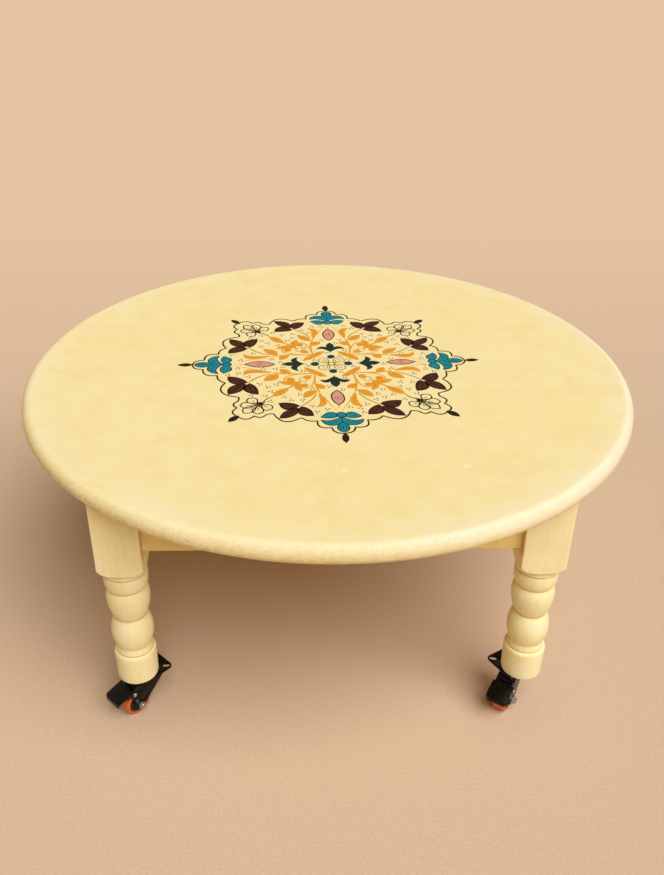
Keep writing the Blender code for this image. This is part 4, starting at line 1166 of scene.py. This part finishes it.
for quarter, corner in enumerate(CORNERS):
    seats[corner] = (Matrix.Translation((*swivels[corner].xy, 0.0))
                     @ Matrix.Rotation(math.radians(90.0 * quarter + PLATE_TWISTS[quarter]), 4, "Z"))
    piece(f"slotted_plate_{corner}", copied(f"caster_plate_{corner}", plate_mesh, seats[corner]),
          coated_steel, "table", [f"caster_plate_{corner}"])

# Plate screws: two round-headed wood screws hold each plate up to the end grain of the foot, through
# the two slots that lie under the wood.
PLATE_SCREW_RADIUS = 0.0021
PLATE_SCREW_HEAD = 0.0040
PLATE_SCREW_RISE = 0.0022
PLATE_SCREW_LENGTH = 0.022

for corner in CORNERS:
    for count, (x, y) in enumerate(WAYS[2:]):
        screw = round_screw(f"plate_screw_{corner}_{count}", PLATE_SCREW_RADIUS, PLATE_SCREW_HEAD,
                            PLATE_SCREW_RISE, PLATE_SCREW_LENGTH)
        screw.transform(seats[corner] @ Matrix.Translation((SLOT_REACH * x, SLOT_REACH * y, PLATE_BOTTOM)))
        piece(f"plate_screw_{corner}_{count}", screw, zinc, "table")

# Kingpins and ball races: a zinc-plated rivet hangs each fork from its plate, and a closed race pressed
# from steel, with a groove where its halves meet, runs between them round the rivet.
KINGPIN_HEAD_RADIUS = 0.007
KINGPIN_HEAD_HEIGHT = 0.0022
RACE_RADIUS = 0.0190
RACE_HEIGHT = 0.0058
RACE_SHOULDER = 0.0025
RACE_SPLIT = 0.0008
RACE_EDGE = 0.0004
CROWN_BOTTOM = swivels["front_left"].z
FORK_SHEET = 0.0025
CROWN_TOP = CROWN_BOTTOM + FORK_SHEET
frames = {}
for corner in CORNERS:
    toward = Vector(joints[f"brake_press_{corner}"]["pos_m"]) - swivels[corner]
    frames[corner] = (Matrix.Translation((*swivels[corner].xy, 0.0))
                      @ Matrix.Rotation(math.atan2(toward.y, toward.x), 4, "Z"))


def at_casters(*rows):
    """Set pieces at each caster: name, CAD node, mesh, finish, table or the caster's own body, and a slot
    that is not used.
    """
    for corner in CORNERS:
        for name, solid, mesh, finish, body, slot in rows:
            piece(f"{name}_{corner}", copied(f"{solid or name}_{corner}", mesh, frames[corner]), finish,
                  body if body == "table" else f"{body}_{corner}",
                  [f"{solid}_{corner}"] if solid else ())


head_top = CROWN_BOTTOM - SEAT_GAP
outline = [(0.0, head_top - KINGPIN_HEAD_HEIGHT)]
outline += arc((0.0, head_top), (KINGPIN_HEAD_RADIUS, -KINGPIN_HEAD_HEIGHT), 80.0, 0.0, 8)
outline += [(KINGPIN_RADIUS, head_top), (KINGPIN_RADIUS, PLATE_BOTTOM),
            (KINGPIN_RADIUS + KINGPIN_FLARE, PLATE_TOP), (0.0, PLATE_TOP)]
kingpin_mesh = smooth_mesh("kingpin", turned(outline, 48), sharp=32.0)
race_bottom = CROWN_TOP + SEAT_GAP
race_top = race_bottom + RACE_HEIGHT
split = race_bottom + RACE_SHOULDER + RACE_SPLIT
split_ends = [split - RACE_SPLIT / 2.0, split + RACE_SPLIT / 2.0]
shoulder = (RACE_RADIUS - RACE_SHOULDER, race_bottom + RACE_SHOULDER)
outline = [(hole, race_bottom), (RACE_RADIUS - 1.5 * RACE_SHOULDER, race_bottom)]
outline += arc(shoulder, (RACE_SHOULDER, RACE_SHOULDER), -90.0, 0.0, 8)
outline += [(RACE_RADIUS, split_ends[0]), (RACE_RADIUS - RACE_SPLIT, split_ends[0]),
            (RACE_RADIUS - RACE_SPLIT, split_ends[1]), (RACE_RADIUS, split_ends[1]),
            (RACE_RADIUS, race_top - RACE_EDGE), (RACE_RADIUS - RACE_EDGE, race_top), (hole, race_top)]
race_mesh = smooth_mesh("ball_race", turned(outline, 72, True), sharp=32.0)
at_casters(("swivel_rivet", "kingpin", kingpin_mesh, zinc, "table", "zinc_steel"),
           ("swivel_race", "ball_race", race_mesh, coated_steel, "caster", "black_steel"))

# Forks: yokes folded from steel sheet, black coated, whose crown slopes down behind as a hood over the
# wheel, with two raked cheeks for the axle and the brake's pin, and a leaf spring for the brake under
# the hood. X trails from the swivel's axis.
(TRAIL, AXLE_HEIGHT), (PIVOT_X, PIVOT_Z) = [
    ((place - swivels["front_left"]).xy.length, place.z) for place in
    (Vector(joints[f"{name}_front_left"]["pos_m"]) for name in ("wheel_spin", "brake_press"))]
WHEEL_WIDTH = 0.020
WHEEL_ROOM = 0.0012
FORK_INNER = WHEEL_WIDTH / 2.0 + WHEEL_ROOM
FORK_OUTER = FORK_INNER + FORK_SHEET
FORK_BEND = 0.0035
CROWN_RADIUS = 0.0175
CROWN_SKIRT = 0.009
HOOD_ROOM = 0.0055
SPRING_SHEET = 0.0008
SPRING_ROOT = 0.007
SPRING_REACH = 0.0108
SPRING_DROP = 6.0
AXLE_RADIUS = 0.003
AXLE_BOSS_RADIUS = 0.009
PIVOT_EAR_RADIUS = 0.0042
PIVOT_PIN_RADIUS = 0.002

outline = [(-CROWN_RADIUS, CROWN_BOTTOM - CROWN_SKIRT, 0.0), (-CROWN_RADIUS, CROWN_TOP, 0.0),
           (CROWN_RADIUS, CROWN_TOP, 0.0), (TRAIL, AXLE_HEIGHT, AXLE_BOSS_RADIUS),
           (PIVOT_X, PIVOT_Z, PIVOT_EAR_RADIUS)]
yoke = slab(outline, -FORK_OUTER, FORK_OUTER, "Y")
folds = [edge for edge in yoke.edges if abs(edge.verts[0].co.y - edge.verts[1].co.y) < 1e-6
         and any(v.co.x > 0.0 and abs(v.co.z - CROWN_TOP) < 1e-6 for v in edge.verts)]
eased(yoke, folds, FORK_BEND, 6)
crown_end = Vector((CROWN_RADIUS, CROWN_TOP))
to_ear = Vector((PIVOT_X, PIVOT_Z)) - crown_end
fall = math.atan2(-to_ear.y, to_ear.x) - math.asin(PIVOT_EAR_RADIUS / to_ear.length)
down = Vector((math.cos(fall), -math.sin(fall)))
under = crown_end - FORK_SHEET * Vector((math.sin(fall), math.cos(fall)))
knee = under + down * ((CROWN_BOTTOM - under.y) / down.y)
far = knee + 2.0 * down * CROWN_TOP
inside = slab([(-CROWN_TOP, -CROWN_TOP, 0.0), (-CROWN_TOP, CROWN_BOTTOM, 0.0), (*knee, 0.0), (*far, 0.0),
               (far.x, -CROWN_TOP, 0.0)], -FORK_INNER, FORK_INNER, "Y")
behind = bar(2.0 * far.x, 2.0 * FORK_INNER, 4.0 * CROWN_TOP, (PIVOT_X - HOOD_ROOM + far.x, 0.0, 0.0))
wide = 2.0 * FORK_OUTER
holes = [slab([(0.0, 0.0, hole)], CROWN_BOTTOM - CROWN_SKIRT, 2.0 * CROWN_TOP),
         slab([(TRAIL, AXLE_HEIGHT, AXLE_RADIUS + RUNNING_GAP)], -wide, wide, "Y"),
         slab([(PIVOT_X, PIVOT_Z, PIVOT_PIN_RADIUS + RUNNING_GAP)], -wide, wide, "Y", 24)]
fork_mesh = carved("fork", yoke, *[("DIFFERENCE", each) for each in (inside, behind, *holes)],
                   arris=SHEET_ARRIS)
below = Vector((down.y, -down.x))
root = under + down * SPRING_ROOT + below * (SPRING_SHEET / 2.0 + RUNNING_GAP)
bent = fall + math.radians(SPRING_DROP)
end = root + Vector((math.cos(bent), -math.sin(bent))) * SPRING_REACH
half = FORK_INNER - 2.0 * RUNNING_GAP
spring = slab([(*root, SPRING_SHEET / 2.0), (*end, SPRING_SHEET / 2.0)], -half, half, "Y", 12)
spring_mesh = smooth_mesh("brake_spring", spring)
at_casters(("folded_fork", "fork", fork_mesh, coated_steel, "caster", "black_steel"),
           ("brake_spring", None, spring_mesh, coated_steel, "caster", "black_steel"))

# Wheels: a core moulded in dark nylon with a boss, a thin web and a rim, and a soft orange
# polyurethane tyre cast round it. They turn on the axle bolt.
WHEEL_RADIUS = AXLE_HEIGHT
TREAD_THICKNESS = 0.0044
TREAD_ROUND = 0.0034
CORE_RIM_THICKNESS = 0.0025
CORE_RIM_WIDTH = 0.017
CORE_WEB = 0.008
CORE_BOSS_RADIUS = 0.0075
CORE_EDGE = 0.0006
TYRE_ORANGE = tint(216, 98, 34)
TYRE_SCUFFED = tint(172, 70, 28)
NYLON = tint(36, 35, 34)
NYLON_PALE = tint(52, 50, 47)


def flipped(outline):
    """Outline's other half, below its middle plane, in the order that carries it on."""
    return [(radius, -height) for radius, height in reversed(outline)]


tyre_finish, shader, place = new_finish("orange_tyre")
scuffed = speckle(place, 120.0, 4.0, 0.6)
dress(shader, mixed(ranged(scuffed, 0.45, 0.8, 0.0, 0.5), TYRE_ORANGE, TYRE_SCUFFED),
      ranged(scuffed, 0.3, 0.7, 0.32, 0.5), speckle(place, 1500.0, 2.0), 0.1, 0.0002)
nylon, shader, place = new_finish("dark_nylon")
mould = speckle(place, 900.0, 3.0)
dress(shader, mixed(ranged(mould, 0.3, 0.7), NYLON, NYLON_PALE), ranged(mould, 0.3, 0.7, 0.42, 0.56))

half = WHEEL_WIDTH / 2.0
seat = WHEEL_RADIUS - TREAD_THICKNESS
shoulder = arc((WHEEL_RADIUS - TREAD_ROUND, half - TREAD_ROUND), (TREAD_ROUND, TREAD_ROUND), 90.0, 0.0, 8)
outline = [(seat, half - CORE_EDGE), (seat + CORE_EDGE, half)] + shoulder
outline += flipped(outline)
on_axle = Matrix.Translation((TRAIL, 0.0, AXLE_HEIGHT)) @ Matrix.Rotation(math.pi / 2.0, 4, "X")
tread_mesh = smooth_mesh("wheel_tread", moved(turned(outline, 96, True), on_axle), sharp=32.0)
rim = seat - SEAT_GAP
inside = rim - CORE_RIM_THICKNESS
bore = AXLE_RADIUS + RUNNING_GAP
boss = FORK_INNER - RUNNING_GAP
web = CORE_WEB / 2.0
face = CORE_RIM_WIDTH / 2.0
outline = [(bore, boss), (CORE_BOSS_RADIUS - CORE_EDGE, boss), (CORE_BOSS_RADIUS, boss - CORE_EDGE),
           (CORE_BOSS_RADIUS, web + CORE_EDGE), (CORE_BOSS_RADIUS + CORE_EDGE, web),
           (inside - CORE_EDGE, web), (inside, web + CORE_EDGE), (inside, face - CORE_EDGE),
           (inside + CORE_EDGE, face), (rim, face)]
outline += flipped(outline)
core_mesh = smooth_mesh("wheel_core", moved(turned(outline, 96, True), on_axle), sharp=32.0)
at_casters(("nylon_core", "wheel_core", core_mesh, nylon, "wheel", "dark_nylon"),
           ("orange_tyre", "wheel_tread", tread_mesh, tyre_finish, "wheel", "orange_tyre"))

# Axle bolts and nuts: zinc-plated hexagons outside the cheeks, with the corners of their faces
# chamfered, and a short end of the bolt standing through the nut.
HEX_RADIUS = 0.0058
BOLT_HEAD_HEIGHT = 0.004
NUT_HEIGHT = 0.005
BOLT_END = 0.0015
HEX_CHAMFER = 0.0007
TO_Y = Matrix.Rotation(-math.pi / 2.0, 4, "X")


def hexagon(low, high):
    """Hexagon across Y with both ends of its corners turned off."""
    inner = HEX_RADIUS - 2.0 * HEX_CHAMFER
    rounds = [(0.0, low), (inner, low), (HEX_RADIUS, low + HEX_CHAMFER), (HEX_RADIUS, high - HEX_CHAMFER),
              (inner, high), (0.0, high)]
    return slab([(0.0, 0.0, HEX_RADIUS)], low, high, "Y", 6), moved(turned(rounds, 48), TO_Y)


head = FORK_OUTER + SEAT_GAP
bolt_end = head + SEAT_GAP + NUT_HEIGHT + BOLT_END
body, cone = hexagon(-head - BOLT_HEAD_HEIGHT, -head)
start = -head - BOLT_HEAD_HEIGHT / 2.0
outline = [(0.0, start), (AXLE_RADIUS, start), (AXLE_RADIUS, bolt_end - HEX_CHAMFER),
           (AXLE_RADIUS - HEX_CHAMFER, bolt_end), (0.0, bolt_end)]
shank = moved(turned(outline, 40), TO_Y)
bolt_mesh = carved("axle_bolt", body, ("INTERSECT", cone), ("UNION", shank))
body, cone = hexagon(head, head + NUT_HEIGHT)
nut_mesh = carved("axle_nut", body, ("INTERSECT", cone),
                  ("DIFFERENCE", slab([(0.0, 0.0, AXLE_RADIUS + RUNNING_GAP)], 0.0, 2.0 * head, "Y")))
for mesh in (bolt_mesh, nut_mesh):
    mesh.transform(Matrix.Translation((TRAIL, 0.0, AXLE_HEIGHT)))
at_casters(("zinc_bolt", "axle_bolt", bolt_mesh, zinc, "caster", "zinc_steel"),
           ("zinc_nut", "axle_nut", nut_mesh, zinc, "caster", "zinc_steel"))

# Brake pedals: black coated steel pressings hung on a headed pin through the fork, with a sloping
# tread turned down at its end, two cheeks and a shoe that comes down on the tyre.
PEDAL_SHEET = 0.0020
PEDAL_ARRIS = 0.0003
PEDAL_SIDE_ROOM = 0.0005
PEDAL_EAR_ROOM = 0.0010
PEDAL_FRONT = 0.0015
PEDAL_LENGTH = 0.0275
PEDAL_SLOPE = 14.0
PEDAL_LIP = 0.0055
PEDAL_LIP_LEAN = 70.0
PEDAL_CORNER = 0.005
PEDAL_CHEEK_RADIUS = 0.0044
PEDAL_CHEEK_LENGTH = 0.017
SHOE_ANGLE = 48.0
SHOE_GAP = 0.0033
SHOE_LENGTH = 0.006
PIN_HEAD_RADIUS = 0.0033
PIN_HEAD_HEIGHT = 0.0012
PEDAL_INNER = FORK_OUTER + PEDAL_SIDE_ROOM
PEDAL_OUTER = PEDAL_INNER + PEDAL_SHEET

half_sheet = PEDAL_SHEET / 2.0
slope = math.radians(PEDAL_SLOPE)
along = Vector((math.cos(slope), -math.sin(slope)))
above = Vector((math.sin(slope), math.cos(slope))) * (PIVOT_EAR_RADIUS + PEDAL_EAR_ROOM + half_sheet)
front = above - along * PEDAL_FRONT
tip = above + along * PEDAL_LENGTH
lean = math.radians(PEDAL_SLOPE + PEDAL_LIP_LEAN)
lip = tip + Vector((math.cos(lean), -math.sin(lean))) * PEDAL_LIP
tread = slab([(*front, half_sheet), (*tip, half_sheet)], -PEDAL_OUTER, PEDAL_OUTER, "Y", 16)
turned_lip = slab([(*tip, half_sheet), (*lip, half_sheet)], -PEDAL_OUTER, PEDAL_OUTER, "Y", 16)
cheek = [(0.0, 0.0, PEDAL_CHEEK_RADIUS), (*front, 0.0), (*(above + along * PEDAL_CHEEK_LENGTH), 0.0)]
cheeks = [slab(cheek, *sorted((side * PEDAL_INNER, side * PEDAL_OUTER)), "Y") for side in (-1.0, 1.0)]
facing = math.radians(SHOE_ANGLE)
out = Vector((math.cos(facing), math.sin(facing)))
side_on = Vector((out.y, -out.x)) * SHOE_LENGTH / 2.0
pad = Vector((TRAIL - PIVOT_X, AXLE_HEIGHT - PIVOT_Z)) + out * (WHEEL_RADIUS + SHOE_GAP)
root = above + along * (pad - above).dot(along)
shoe = slab([(*(pad - side_on), 0.0), (*(pad + side_on), 0.0), (*(root - along * half_sheet), 0.0),
             (*(root + along * half_sheet), 0.0)], -WHEEL_WIDTH / 2.0, WHEEL_WIDTH / 2.0, "Y")
reach = tip.x + half_sheet
corner_side = PEDAL_OUTER - PEDAL_CORNER
plan = slab([(reach - PEDAL_CORNER, side * corner_side, PEDAL_CORNER) for side in (-1.0, 1.0)]
            + [(-reach, side * PEDAL_OUTER, 0.0) for side in (-1.0, 1.0)], -reach, reach)
pin_hole = slab([(0.0, 0.0, PIVOT_PIN_RADIUS + RUNNING_GAP)], -2.0 * PEDAL_OUTER, 2.0 * PEDAL_OUTER, "Y", 24)
pedal_mesh = carved("brake_pedal", tread, *[("UNION", each) for each in (turned_lip, *cheeks, shoe)],
                    ("INTERSECT", plan), ("DIFFERENCE", pin_hole), arris=PEDAL_ARRIS)
half = PEDAL_OUTER + SEAT_GAP
end = half + PIN_HEAD_HEIGHT
outline = [(PIVOT_PIN_RADIUS, 0.0), (PIVOT_PIN_RADIUS, half), (PIN_HEAD_RADIUS, half)]
outline += arc((PIN_HEAD_RADIUS / 2.0, half), (PIN_HEAD_RADIUS / 2.0, PIN_HEAD_HEIGHT), 0.0, 90.0, 6)
outline += [(0.0, end)]
outline = flipped(outline) + outline[1:]
pin_mesh = smooth_mesh("brake_pin", moved(turned(outline, 32), TO_Y), sharp=32.0)
for mesh in (pedal_mesh, pin_mesh):
    mesh.transform(Matrix.Translation((PIVOT_X, 0.0, PIVOT_Z)))
at_casters(("pressed_pedal", "brake_pedal", pedal_mesh, coated_steel, "brake", "black_steel"),
           ("headed_pin", "brake_pin", pin_mesh, zinc, "caster", "zinc_steel"))
